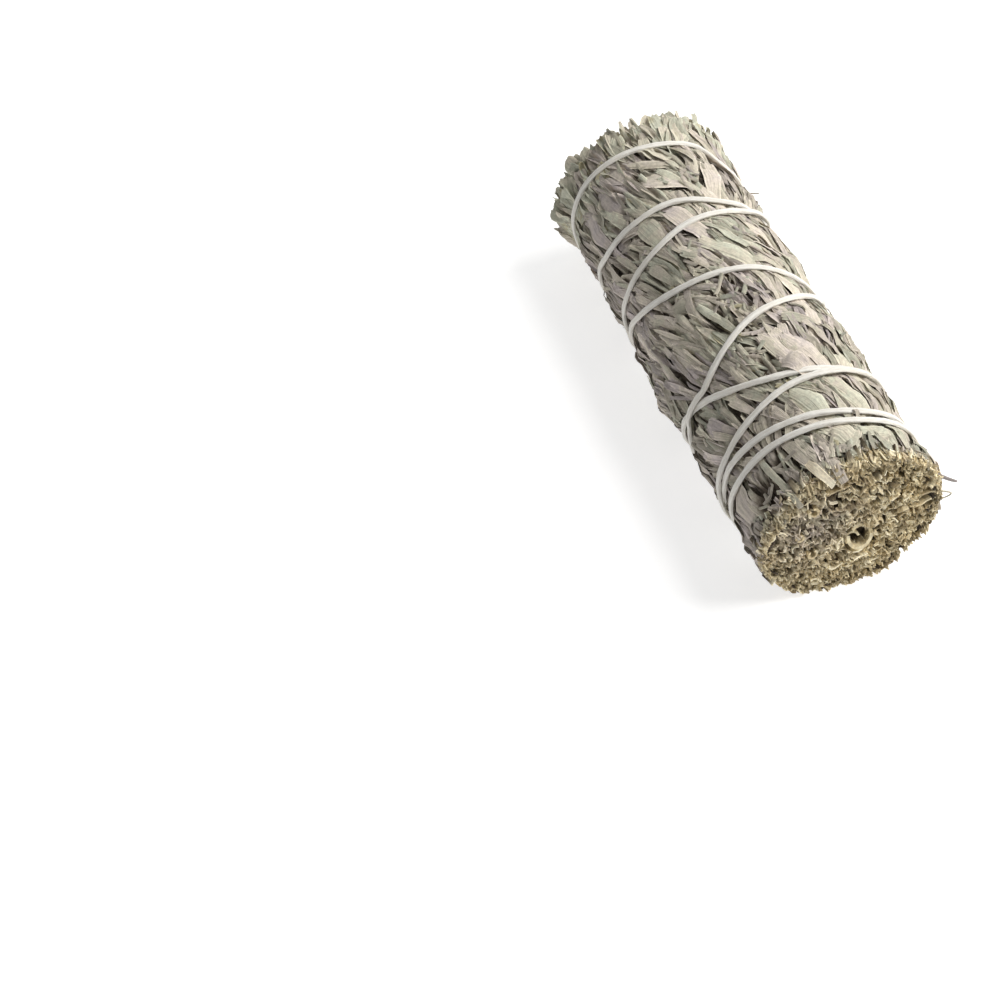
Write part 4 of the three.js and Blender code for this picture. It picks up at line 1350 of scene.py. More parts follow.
    def strips(self) -> Strips:
        """The chopped leaves seen end on."""
        random = np.random.default_rng(self.seed)
        y, z = self.spots(random, self.strip_spacing, 0.25)
        count = len(y)
        radius, angle = np.hypot(y, z), np.arctan2(z, y)
        lean = random.normal(0, 0.26, (count, 2))
        outer = smooth((radius - 11) / 6)[:, None]
        outward = np.stack([np.cos(angle), np.sin(angle)], axis=-1)
        lean = lean - outward * outer * drawn(random, count, -0.1, 0.3)[:, None]
        axis = unit(np.concatenate([np.ones((count, 1)), lean], axis=-1))
        grey = self.greyness(y, z)
        swirl = 1.0 * np.sin(0.33 * y + 0.7) * np.sin(0.29 * z + 2.1) + 0.7 * np.sin(0.7 * y - 0.5 * z)
        way = angle + swirl + random.normal(0, 0.4, count) * (1 + 2 * grey)
        chord = np.stack([np.zeros(count), np.cos(way), np.sin(way)], axis=-1)
        chord = unit(chord - (chord * axis).sum(axis=1, keepdims=True) * axis)
        tightly = random.random(count) < 0.5 + 0.3 * grey
        curl = np.where(tightly, drawn(random, count, 2.4, 5.2), drawn(random, count, 0.2, 1.4))
        return Strips(
            end=self.at(self.face(y, z) + random.normal(0, 0.52, count), y, z), axis=axis, chord=chord,
            length=drawn(random, count, 2.2, 3.6),
            width=np.clip(np.exp(random.normal(math.log(1.2), 0.34, count)), 0.6, 2.6) * np.where(tightly, 1.6, 1.0),
            curl=curl * np.where(random.random(count) < 0.5, 1, -1),
            thickness=drawn(random, count, 0.16, 0.3),
            bow=random.normal(0, 0.05, count),
            ragged=random.normal(0, 0.2, (count, 5)),
            tint=drawn(random, count, 0, 0.6),
            light=np.clip(random.normal(0.68, 0.24, count) - 0.12 * grey, 0, 1),
            cut=1 - 0.8 * grey,
            bright=np.full(count, 0.35),
        )

    def crumbs(self) -> Strips:
        """Loose narrow curls that lie on the face and on the chopped rim, turned every way."""
        random = np.random.default_rng(self.seed + 1)
        y, z = self.spots(random, self.crumb_spacing, 0.1)
        count = len(y)
        axis = unit(random.normal(0, 1, (count, 3)) * np.array([[0.9, 1.0, 1.0]]))
        chord = cross_frames(axis, drawn(random, count, 0, TURN))
        length = drawn(random, count, 0.6, 2.0)
        middle = self.at(self.face(y, z) + drawn(random, count, -0.35, 0.45), y, z)
        return Strips(
            end=middle + axis * length[:, None] / 2, axis=axis, chord=chord, length=length,
            width=drawn(random, count, 0.5, 1.5),
            curl=drawn(random, count, 1.2, 4.2),
            thickness=drawn(random, count, 0.16, 0.26),
            bow=random.normal(0, 0.22, count),
            ragged=random.normal(0, 0.1, (count, 5)),
            tint=drawn(random, count, 0, 0.6),
            light=np.clip(random.normal(0.72, 0.24, count), 0, 1),
            cut=1 - 0.7 * self.greyness(y, z),
            bright=np.full(count, 9.0),
        )

    def rim_curls(self) -> Strips:
        """Frayed bits round the shoulder, between the side's last leaves and the face."""
        random = np.random.default_rng(self.seed + 2)
        count = 820
        angle = drawn(random, count, 0, TURN)
        chopped = self.cover.chopped(angle)
        back = drawn(random, count, 0, 1) ** 1.4 * (2.4 + 4.0 * chopped)
        station = 107.0 - 0.8 * chopped - back
        radius = self.cover.level(station, angle) - drawn(random, count, 0.25, 0.95)
        length = drawn(random, count, 0.8, 2.3)
        outward = np.stack([np.zeros(count), np.cos(angle), np.sin(angle)], axis=-1)
        round_ = np.stack([np.zeros(count), -np.sin(angle), np.cos(angle)], axis=-1)
        axis = np.array([[1.0, 0.0, 0.0]]) + round_ * random.normal(0, 0.8, count)[:, None]
        axis = unit(axis + outward * drawn(random, count, -0.42, 0.0)[:, None])
        chord = unit(np.cross(outward, axis))
        turn = random.normal(0, 0.42, count)
        chord = np.cos(turn)[:, None] * chord + np.sin(turn)[:, None] * np.cross(axis, chord)
        end = self.cover.bundle.place(station, angle, radius) + axis * length[:, None] / 2
        end[:, 0] = np.minimum(end[:, 0], self.farthest - self.cover.bundle.length / 2)
        return Strips(
            end=end, axis=axis, chord=chord, length=length,
            width=drawn(random, count, 0.6, 1.7),
            curl=drawn(random, count, 0.8, 4.0),
            thickness=drawn(random, count, 0.18, 0.3),
            bow=random.normal(0, 0.12, count),
            ragged=random.normal(0, 0.2, (count, 5)),
            tint=drawn(random, count, 0, 1),
            light=np.clip(random.normal(0.55, 0.24, count), 0, 1),
            cut=np.clip(1 - back / 3.4, 0.0, 1),
            bright=np.full(count, 2.6),
        )

    def shown_curls(self) -> Strips:
        """The curls that show plainly."""
        table = np.array([(*curl, 0.0)[:8] for curl in self.shown])
        y, z, turn, width, curl, light, out, lean = table.T
        count = len(y)
        turn = np.radians(turn)
        axis = unit(np.stack([np.ones(count), -0.25 * lean, lean], axis=-1))
        chord = np.stack([np.zeros(count), np.cos(turn), np.sin(turn)], axis=-1)
        chord = unit(chord - (chord * axis).sum(axis=1, keepdims=True) * axis)
        return Strips(
            end=self.at(self.face(y, z) + self.hollow(y, z) + out, y, z), axis=axis,
            chord=chord, length=np.full(count, 3.0), width=width, curl=curl,
            thickness=0.34 + 0.026 * width, bow=np.zeros(count),
            ragged=(0.06 + 0.03 * width)[:, None] * np.sin(np.arange(count)[:, None] * 2.0 + np.arange(5)[None] * 1.7),
            tint=np.full(count, 0.4), light=light, cut=np.ones(count), bright=np.full(count, 0.7),
        )

    def tucked(self, strips: Strips) -> Strips:
        """Those of the strips whose two ends don't stand out of the side."""
        bundle = self.cover.bundle
        kept = np.ones(len(strips.length), bool)
        for place in (strips.end, strips.end - strips.axis * strips.length[:, None]):
            y, z = place[:, 1], place[:, 2] - bundle.axis_height
            station = np.minimum(place[:, 0] + bundle.length / 2, self.face_station)
            kept &= np.hypot(y, z) < self.cover.level(station, np.arctan2(z, y)) + self.stand_out
        return strips.taken(kept)

    def build(self) -> Strips:
        """The small strips of the cut end."""
        return self.tucked(Strips.joined([self.strips(), self.crumbs(), self.rim_curls()]))


@dataclass(frozen=True)
class PackedCore:
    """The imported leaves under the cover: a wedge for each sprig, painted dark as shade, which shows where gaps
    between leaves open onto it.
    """

    bundle: Bundle
    rows: int = 60
    outer_points: int = 22
    rise: float = 0.1
    roughness: float = 0.22
    face_back: float = 1.5
    tips_back: float = 3.0
    floor_room: float = 1.6
    room_fall: float = 1.8

    def rough(self, station: Array, angle: Array) -> Array:
        """Small lumps on the outside of the core: a sum of two crossed waves."""
        crossed = np.sin(2.3 * station + 31 * angle) + np.sin(1.7 * station - 43 * angle + 1.0)
        return self.roughness * crossed / 2

    def outer(self, sprig: int) -> Shell:
        """The wedge of an outer sprig, between its two seams.

        Args:
            sprig: Its number, from 0.

        Returns:
            The wedge's shell.
        """
        bundle = self.bundle
        station = np.linspace(bundle.pack_start + self.tips_back, bundle.pack_end - self.face_back, self.rows)[:, None]
        seam_gap = bundle.gap / 2 / bundle.inner_reach
        low = bundle.seam_angle(sprig, station) + seam_gap
        high = bundle.seam_angle(sprig + 1, station) - seam_gap
        share = np.linspace(0, 1, self.outer_points)[None]
        angle = mixed(low, high, share)
        wear = 1.6 * smooth((station - 97) / 9)
        outer = bundle.packed_radius(station, angle) + self.rise + self.rough(station, angle) - wear
        back = mixed(low, high, np.linspace(1, 0, self.outer_points // 3)[None])
        inner = np.full(back.shape, bundle.inner_reach + bundle.gap)
        stations = np.broadcast_to(station, (self.rows, angle.shape[1] + back.shape[1]))
        points = bundle.place(stations, np.concatenate([angle, back], axis=1),
                              np.concatenate([outer, inner], axis=1))
        points[..., 2] += self.floor_room * np.exp(-points[..., 2] / self.room_fall)
        return self.closed(points)

    def inner(self, sprig: int) -> Shell:
        """The wedge of an inner sprig: a share of a round bar.

        Args:
            sprig: Its number, from 0.

        Returns:
            The wedge's shell.
        """
        bundle = self.bundle
        share = TURN / bundle.inner_sprigs
        middle = (sprig + 0.5) * share
        seam_gap = bundle.gap / 2 / bundle.inner_reach
        rows = 8
        station = np.linspace(bundle.pack_start + self.tips_back, bundle.pack_end - self.face_back, rows)[:, None]
        turn = middle + np.linspace(-0.5, 0.5, self.outer_points)[None] * (share - 2 * seam_gap)
        angle = np.broadcast_to(turn, (rows, self.outer_points))
        tip = np.full((rows, 1), middle)
        tip_radius = np.full((rows, 1), bundle.gap / 2 / math.sin(share / 2))
        angles = np.concatenate([angle, tip], axis=1)
        radii = np.concatenate([np.full(angle.shape, bundle.inner_reach), tip_radius], axis=1)
        return self.closed(bundle.place(np.broadcast_to(station, angles.shape), angles, radii))

    def closed(self, rings: Array) -> Shell:
        """A tube of rings, closed at both ends by fans of triangles round a middle point.

        Args:
            rings: Points, by row and place in the row.

        Returns:
            The shell.
        """
        rows, around = rings.shape[:2]
        middles = rings[[0, -1]].mean(axis=1)
        points = np.concatenate([rings.reshape(-1, 3), middles])
        first = np.arange(around)
        after = (first + 1) % around
        start = np.stack([after, first, np.full(around, rows * around)], axis=-1)
        last = (rows - 1) * around
        end = np.stack([first + last, after + last, np.full(around, rows * around + 1)], axis=-1)
        count = len(points)
        uv = np.stack([points[:, 0] / 10, np.arctan2(points[:, 2] - self.bundle.axis_height, points[:, 1])],
                      axis=-1)
        # Painted shade: the core is given a low lightness and a large depth, so it is painted dark.
        traits = np.tile([[0.3, 0.2, 0.85]], (count, 1))
        return Shell(points, grid_quads(1, rows, around), np.concatenate([start, end]), uv, traits,
                     np.zeros(count)).facing_out()


@dataclass(frozen=True)
class LooseCurls:
    """Small curled bits of leaf that lie in the dark pockets and on the curly patches of the side."""

    cover: Cover
    seed: int = 41
    in_pocket: int = 4
    on_patch: int = 12
    last_station: float = 103.2

    def build(self) -> Strips:
        """The curls of all the pockets and patches."""
        random = np.random.default_rng(self.seed)
        pockets = np.repeat(np.array(self.cover.pockets), self.in_pocket, axis=0)
        patches = np.array([patch for patch in SideLeaves.curly if patch[0] < self.last_station])
        patches = np.repeat(patches, self.on_patch, axis=0)
        table = np.concatenate([pockets, patches])
        count = len(table)
        turn = drawn(random, count, 0, TURN)
        reach = table[:, 2] * np.sqrt(random.random(count)) * 1.2
        length = drawn(random, count, 2.2, 5.6)
        station = np.minimum(table[:, 0] + reach * np.cos(turn), self.last_station - length / 2)
        angle = np.radians(table[:, 1]) + reach * np.sin(turn) / self.cover.bundle.side_radius
        sunk = self.cover.bells(self.cover.pockets, station, angle)
        near = self.cover.winding.gaps(station, angle, self.cover.bundle.side_radius).min(axis=0)
        level = self.cover.level(station, angle) - sunk * 0.7
        radius = level + drawn(random, count, -0.45, 0.3) - 1.1 * np.exp(-(near / 2.4) ** 2)
        outward = np.stack([np.zeros(count), np.cos(angle), np.sin(angle)], axis=-1)
        round_ = np.stack([np.zeros(count), -np.sin(angle), np.cos(angle)], axis=-1)
        way = np.where(random.random(count) < 0.6, random.normal(0.3, 0.6, count), drawn(random, count, 0, TURN))
        axis = np.cos(way)[:, None] * np.array([[1.0, 0.0, 0.0]]) + np.sin(way)[:, None] * round_
        axis = unit(axis + outward * random.normal(0, 0.07, count)[:, None])
        chord = unit(np.cross(outward, axis))
        return Strips(
            end=self.cover.bundle.place(station, angle, radius) + axis * length[:, None] / 2,
            axis=axis, chord=chord, length=length,
            width=drawn(random, count, 0.5, 1.2),
            curl=-drawn(random, count, 0.8, 3.0),
            thickness=drawn(random, count, 0.16, 0.26),
            bow=random.normal(0, 0.1, count),
            ragged=random.normal(0, 0.16, (count, 5)),
            tint=drawn(random, count, 0.1, 0.9),
            light=np.clip(random.normal(0.52, 0.2, count), 0, 1),
            cut=np.zeros(count),
            bright=np.full(count, 9.0),
        )


@dataclass(frozen=True)
class Strays:
    """Thin bits that stand out of the stick: a grey twig, a pale loop and spurs.

    Each is a rod bent through three points in millimetres, with a radius, a tint and a lightness.
    """

    rods: tuple[tuple[float, ...], ...] = (
        (51.0, 14.5, 26.8, 53.2, 18.6, 24.6, 53.6, 21.3, 22.9, 0.42, 0.05, 0.12),
        (52.8, 17.6, 20.6, 53.6, 20.6, 19.6, 52.9, 18.4, 17.8, 0.2, 0.6, 0.9),
        (49.6, 12.6, 31.2, 51.2, 13.9, 31.4, 52.3, 14.8, 31.3, 0.17, 0.4, 0.7),
        (-31.5, 16.9, 26.4, -30.1, 17.4, 27.3, -29.2, 17.9, 28.0, 0.16, 0.5, 0.6),
    )
    around: int = 7
    steps: int = 14

    def build(self) -> Shell:
        """The rods: round tubes along curves a(1-t)^2 + 2bt(1-t) + ct^2, thinning to their tips."""
        table = np.array(self.rods)
        count = len(table)
        start, middle, end = table[:, 0:3], table[:, 3:6], table[:, 6:9]
        bend = 2 * middle - (start + end) / 2
        t = np.linspace(0, 1, self.steps)[None, :, None]
        path = start[:, None] * (1 - t) ** 2 + 2 * bend[:, None] * t * (1 - t) + end[:, None] * t**2
        run = unit(np.gradient(path, axis=1))
        side = unit(np.cross(run, np.array([0.3, 0.2, 0.93])))
        up = np.cross(side, run)
        turn = np.arange(self.around) * TURN / self.around
        thin = (1 - 0.45 * t[0, :, 0] ** 2)[None] * table[:, 9:10]
        thin[:, [0, -1]] *= 0.35
        ring = (np.cos(turn)[:, None] * side[:, :, None] + np.sin(turn)[:, None] * up[:, :, None])
        points = (path[:, :, None] + ring * thin[..., None, None]).reshape(-1, 3)
        first = np.arange(1, self.around - 1)
        fan = np.stack([np.zeros(len(first), int), first, first + 1], axis=-1)
        ends = np.concatenate([fan[:, ::-1], fan + (self.steps - 1) * self.around])
        shape = (count, self.steps, self.around)
        uv = np.stack([np.broadcast_to(t[..., 0, None] * 0.3, shape),
                       np.broadcast_to(turn / TURN, shape)], axis=-1).reshape(-1, 2)
        traits = np.repeat(np.concatenate([table[:, 10:12], np.zeros((count, 1))], axis=1),
                           self.steps * self.around, axis=0)
        return Shell(points, grid_quads(count, self.steps, self.around),
                     repeated(ends, count, self.steps * self.around), uv, traits,
                     np.zeros(len(points))).facing_out()


class Bench:
    """Adds nodes to one tree and joins them."""

    def __init__(self, tree: bpy.types.NodeTree) -> None:
        """Starts with the tree as it is."""
        self.tree = tree
        self.column = 0

    def node(self, kind: str, **settings: object) -> bpy.types.Node:
        """Adds a node.

        Args:
            kind: Its type.
            settings: Values for its sockets or its own properties, with underscores for spaces.

        Returns:
            The node.
        """
        node = self.tree.nodes.new(kind)
        node.location = (self.column * 190, -(self.column % 3) * 160)
        self.column += 1
        for key, value in settings.items():
            if hasattr(node, key):
                setattr(node, key, value)
            else:
                self.feed(node.inputs[key.replace("_", " ")], value)
        return node

    def feed(self, socket: bpy.types.NodeSocket, value: object) -> None:
        """Joins another socket to this one, or sets its value."""
        if isinstance(value, bpy.types.NodeSocket):
            self.tree.links.new(value, socket)
        else:
            socket.default_value = value

    def math(self, operation: str, a: object, b: object = 0.0, clamped: bool = False) -> bpy.types.NodeSocket:
        """A sum, product or other operation of two values."""
        node = self.node("ShaderNodeMath", operation=operation, use_clamp=clamped)
        self.feed(node.inputs[0], a)
        self.feed(node.inputs[1], b)
        return node.outputs[0]

    def mix(self, share: object, a: object, b: object, blend: str = "MIX") -> bpy.types.NodeSocket:
        """A mix of two colours."""
        node = self.node("ShaderNodeMix", data_type="RGBA", blend_type=blend)
        self.feed(node.inputs[0], share)
        self.feed(node.inputs[6], a)
        self.feed(node.inputs[7], b)
        return node.outputs[2]

    def ramp(self, value: bpy.types.NodeSocket, stops: tuple) -> bpy.types.NodeSocket:
        """A colour for each value, by stops of a place and a colour."""
        node = self.node("ShaderNodeValToRGB", Fac=value)
        elements = node.color_ramp.elements
        while len(elements) < len(stops):
            elements.new(0.5)
        for element, (place, colour) in zip(elements, stops):
            element.position = place
            element.color = (*colour, 1.0)
        return node.outputs[0]

    def span(self, value: object, low: float, high: float, to_low: float, to_high: float) -> bpy.types.NodeSocket:
        """A value moved from one range to another, smoothly and held at its ends."""
        node = self.node("ShaderNodeMapRange", interpolation_type="SMOOTHSTEP")
        for name, each in (("Value", value), ("From Min", low), ("From Max", high), ("To Min", to_low),
                           ("To Max", to_high)):
            self.feed(node.inputs[name], each)
        return node.outputs["Result"]

    def noise(self, place: bpy.types.NodeSocket, scale: float, detail: float = 3.0,
              roughness: float = 0.55) -> bpy.types.NodeSocket:
        """Noise at places, from 0 to 1."""
        node = self.node("ShaderNodeTexNoise", Vector=place, Scale=scale, Detail=detail, Roughness=roughness)
        return node.outputs["Fac"]


def node_group(name: str, inputs: tuple, outputs: tuple) -> tuple[bpy.types.NodeTree, Bench, object, object]:
    """Starts a shader node group.

    Args:
        name: Its name.
        inputs: A name and a socket type for each input.
        outputs: The same for each output.

    Returns:
        The group, a bench for it, and its input and output nodes.
    """
    group = bpy.data.node_groups.new(name, "ShaderNodeTree")
    for direction, sockets in (("INPUT", inputs), ("OUTPUT", outputs)):
        for label, kind in sockets:
            group.interface.new_socket(label, in_out=direction, socket_type=kind)
    bench = Bench(group)
    return group, bench, bench.node("NodeGroupInput"), bench.node("NodeGroupOutput")


def crevice_group() -> bpy.types.NodeTree:
    """A group that paints shade: it browns and darkens a colour with its depth between the leaves, unevenly."""
    group, bench, given, result = node_group(
        "crevice_shade",
        (("Color", "NodeSocketColor"), ("Depth", "NodeSocketFloat"), ("Dark", "NodeSocketColor")),
        (("Color", "NodeSocketColor"),),
    )
    place = bench.node("ShaderNodeTexCoord").outputs["Object"]
    uneven = bench.span(bench.noise(place, 900.0), 0.3, 0.7, -0.12, 0.12)
    depth = bench.math("ADD", given.outputs["Depth"], uneven)
    # Painted shade: brown first, then the dark colour, as the depth grows.
    warm = bench.mix(bench.span(depth, 0.05, 0.45, 0.0, 0.4), given.outputs["Color"], (0.16, 0.12, 0.075, 1))
    dark = bench.mix(bench.span(depth, 0.3, 0.95, 0.0, 0.92), warm, given.outputs["Dark"])
    bench.feed(result.inputs["Color"], dark)
    return group


def nap_group() -> bpy.types.NodeTree:
    """A group that gives the height of a felted surface: soft fibres over slow swells."""
    group, bench, given, result = node_group(
        "felted_nap",
        (("Fibre Scale", "NodeSocketFloat"), ("Swell Scale", "NodeSocketFloat")),
        (("Height", "NodeSocketFloat"), ("Fibres", "NodeSocketFloat")),
    )
    place = bench.node("ShaderNodeTexCoord").outputs["Object"]
    fibres = bench.node("ShaderNodeTexNoise", Vector=place, Scale=given.outputs["Fibre Scale"], Detail=4.0,
                        Roughness=0.62).outputs["Fac"]
    swells = bench.node("ShaderNodeTexNoise", Vector=place, Scale=given.outputs["Swell Scale"],
                        Detail=2.0).outputs["Fac"]
    height = bench.math("ADD", bench.math("MULTIPLY", fibres, 0.5), bench.math("MULTIPLY", swells, 0.5))
    bench.feed(result.inputs["Height"], height)
    bench.feed(result.inputs["Fibres"], fibres)
    return group


@dataclass(frozen=True)
class SageFinish:
    """Dried sagebrush leaf: grey-green to beige, felted, with pale nerves, golden cut edges, painted highlights on the
    blades' edges and painted shade between leaves.
    """

    name: str
    tints: tuple = (
        (0.0, (0.47, 0.415, 0.395)), (0.25, (0.55, 0.49, 0.425)), (0.5, (0.51, 0.465, 0.375)),
        (0.72, (0.465, 0.455, 0.36)), (0.9, (0.50, 0.505, 0.41)), (1.0, (0.42, 0.38, 0.25)),
    )
    cut_tints: tuple = (
        (0.0, (0.35, 0.26, 0.14)), (0.3, (0.50, 0.40, 0.23)), (0.6, (0.60, 0.50, 0.31)),
        (0.8, (0.67, 0.59, 0.40)), (1.0, (0.82, 0.75, 0.56)),
    )
    # The colour of the painted shade deepest between the leaves.
    dark: tuple[float, float, float, float] = (0.075, 0.055, 0.036, 1.0)

    def material(self, crevice: bpy.types.NodeTree, nap: bpy.types.NodeTree) -> bpy.types.Material:
        """Makes the material.

        Args:
            crevice: The group that darkens with depth.
            nap: The group that gives the felted height.

        Returns:
            The material.
        """
        material = bpy.data.materials.new(self.name)
        material.use_nodes = True
        bench = Bench(material.node_tree)
        shader = material.node_tree.nodes["Principled BSDF"]
        traits = bench.node("ShaderNodeSeparateXYZ",
                            Vector=bench.node("ShaderNodeAttribute", attribute_name="traits").outputs["Vector"])
        cut = bench.node("ShaderNodeAttribute", attribute_name="cut").outputs["Fac"]
        tint, light, depth = traits.outputs[0], traits.outputs[1], traits.outputs[2]
        place = bench.node("ShaderNodeTexCoord").outputs["Object"]
        blade = bench.node("ShaderNodeSeparateXYZ",
                           Vector=bench.node("ShaderNodeUVMap", uv_map="blade").outputs["UV"])
        patches = bench.noise(place, 260.0, 3.0, 0.6)
        moved = bench.math("ADD", tint, bench.span(patches, 0.3, 0.7, -0.16, 0.16))
        leaf = bench.ramp(moved, self.tints)
        golden = bench.ramp(bench.math("ADD", bench.math("MULTIPLY", light, 0.8),
                                       bench.span(patches, 0.3, 0.7, -0.1, 0.3)), self.cut_tints)
        colour = bench.mix(cut, leaf, golden)
        level = bench.span(light, 0.0, 1.0, 0.6, 1.34)
        off_middle = bench.math("ABSOLUTE", bench.math("SUBTRACT", blade.outputs[1], 0.5))
        # Painted highlight: the blade's edges are painted up to 1.3 times lighter.
        rim = bench.span(off_middle, 0.36, 0.5, 1.0, 1.3)
        streaks = bench.node("ShaderNodeCombineXYZ", X=bench.math("MULTIPLY", blade.outputs[0], 2.0),
                             Y=bench.math("MULTIPLY", blade.outputs[1], 14.0), Z=bench.math("MULTIPLY", tint, 40.0))
        lines = bench.noise(streaks.outputs[0], 1.0, 3.0, 0.6)
        level = bench.math("MULTIPLY", bench.math("MULTIPLY", level, rim), bench.span(lines, 0.3, 0.7, 0.84, 1.1))
        specks = bench.span(bench.noise(place, 1500.0, 4.0, 0.7), 0.3, 0.7, 0.86, 1.12)
        level = bench.math("MULTIPLY", level, specks)
        grey = bench.node("ShaderNodeCombineColor", Red=level, Green=level, Blue=level).outputs[0]
        colour = bench.mix(1.0, colour, grey, "MULTIPLY")
        shade = bench.node("ShaderNodeGroup", node_tree=crevice)
        bench.feed(shade.inputs["Color"], colour)
        bench.feed(shade.inputs["Depth"], depth)
        bench.feed(shade.inputs["Dark"], self.dark)
        bench.feed(shader.inputs["Base Color"], shade.outputs["Color"])
        felt = bench.node("ShaderNodeGroup", node_tree=nap)
        bench.feed(felt.inputs["Fibre Scale"], 2600.0)
        bench.feed(felt.inputs["Swell Scale"], 700.0)
        nerves = bench.span(bench.math("PINGPONG", bench.math("ADD", off_middle, 0.02), 0.17), 0.0, 0.05, 0.35, 0.0)
        height = bench.math("ADD", bench.math("ADD", felt.outputs["Height"], nerves),
                            bench.math("MULTIPLY", lines, 0.8))
        bump = bench.node("ShaderNodeBump", Strength=0.8, Distance=0.0002, Height=height)
        bench.feed(shader.inputs["Normal"], bump.outputs["Normal"])
        bench.feed(shader.inputs["Roughness"], bench.span(felt.outputs["Fibres"], 0.3, 0.7, 0.82, 0.96))
        shader.inputs["Specular IOR Level"].default_value = 0.25
        shader.inputs["Sheen Weight"].default_value = 0.12
        shader.inputs["Sheen Roughness"].default_value = 0.5
        return material


@dataclass(frozen=True)
class StemFinish:
    """Dry woody stem: grey-brown bark outside, cream wood where it is cut, and a hollow pith that painted shade browns
    and darkens.
    """

    name: str = "dry_stem_wood"
    bark: tuple[float, float, float, float] = (0.20, 0.15, 0.10, 1.0)
    bark_light: tuple[float, float, float, float] = (0.36, 0.30, 0.22, 1.0)
    wood: tuple[float, float, float, float] = (0.62, 0.52, 0.34, 1.0)
    wood_ring: tuple[float, float, float, float] = (0.44, 0.33, 0.18, 1.0)

    def material(self, crevice: bpy.types.NodeTree, nap: bpy.types.NodeTree) -> bpy.types.Material:
        """Makes the material.

        Args:
            crevice: The group that darkens with depth.
            nap: The group that gives the felted height.

        Returns:
            The material.
        """
        material = bpy.data.materials.new(self.name)
        material.use_nodes = True
        bench = Bench(material.node_tree)
        shader = material.node_tree.nodes["Principled BSDF"]
        traits = bench.node("ShaderNodeSeparateXYZ",
                            Vector=bench.node("ShaderNodeAttribute", attribute_name="traits").outputs["Vector"])
        cut = bench.node("ShaderNodeAttribute", attribute_name="cut").outputs["Fac"]
        blade = bench.node("ShaderNodeSeparateXYZ",
                           Vector=bench.node("ShaderNodeUVMap", uv_map="blade").outputs["UV"])
        place = bench.node("ShaderNodeTexCoord").outputs["Object"]
        grain = bench.node("ShaderNodeCombineXYZ", X=bench.math("MULTIPLY", blade.outputs[0], 1.5),
                           Y=bench.math("MULTIPLY", blade.outputs[1], 30.0))
        fibres = bench.noise(grain.outputs[0], 1.0, 4.0, 0.65)
        bark = bench.mix(bench.span(fibres, 0.35, 0.65, 0.0, 1.0), self.bark, self.bark_light)
        rings = bench.math("SINE", bench.math("MULTIPLY", blade.outputs[0], 160.0))
        wood = bench.mix(bench.span(rings, -1.0, 1.0, 0.0, 0.6), self.wood, self.wood_ring)
        rays = bench.span(bench.noise(place, 2200.0), 0.35, 0.7, 0.0, 0.3)
        wood = bench.mix(rays, wood, self.wood_ring)
        colour = bench.mix(cut, bark, wood)
        shade = bench.node("ShaderNodeGroup", node_tree=crevice)
        bench.feed(shade.inputs["Color"], colour)
        bench.feed(shade.inputs["Depth"], traits.outputs[2])
        # Painted shade: the darkest colour of the hollow pith.
        bench.feed(shade.inputs["Dark"], (0.03, 0.02, 0.012, 1.0))
        bench.feed(shader.inputs["Base Color"], shade.outputs["Color"])
        felt = bench.node("ShaderNodeGroup", node_tree=nap)
        bench.feed(felt.inputs["Fibre Scale"], 3000.0)
        bench.feed(felt.inputs["Swell Scale"], 900.0)
        height = bench.math("ADD", felt.outputs["Height"], bench.math("MULTIPLY", fibres, 0.8))
        bump = bench.node("ShaderNodeBump", Strength=0.8, Distance=0.0002, Height=height)
        bench.feed(shader.inputs["Normal"], bump.outputs["Normal"])
        bench.feed(shader.inputs["Roughness"], bench.span(felt.outputs["Fibres"], 0.3, 0.7, 0.7, 0.92))
        shader.inputs["Specular IOR Level"].default_value = 0.3
        return material


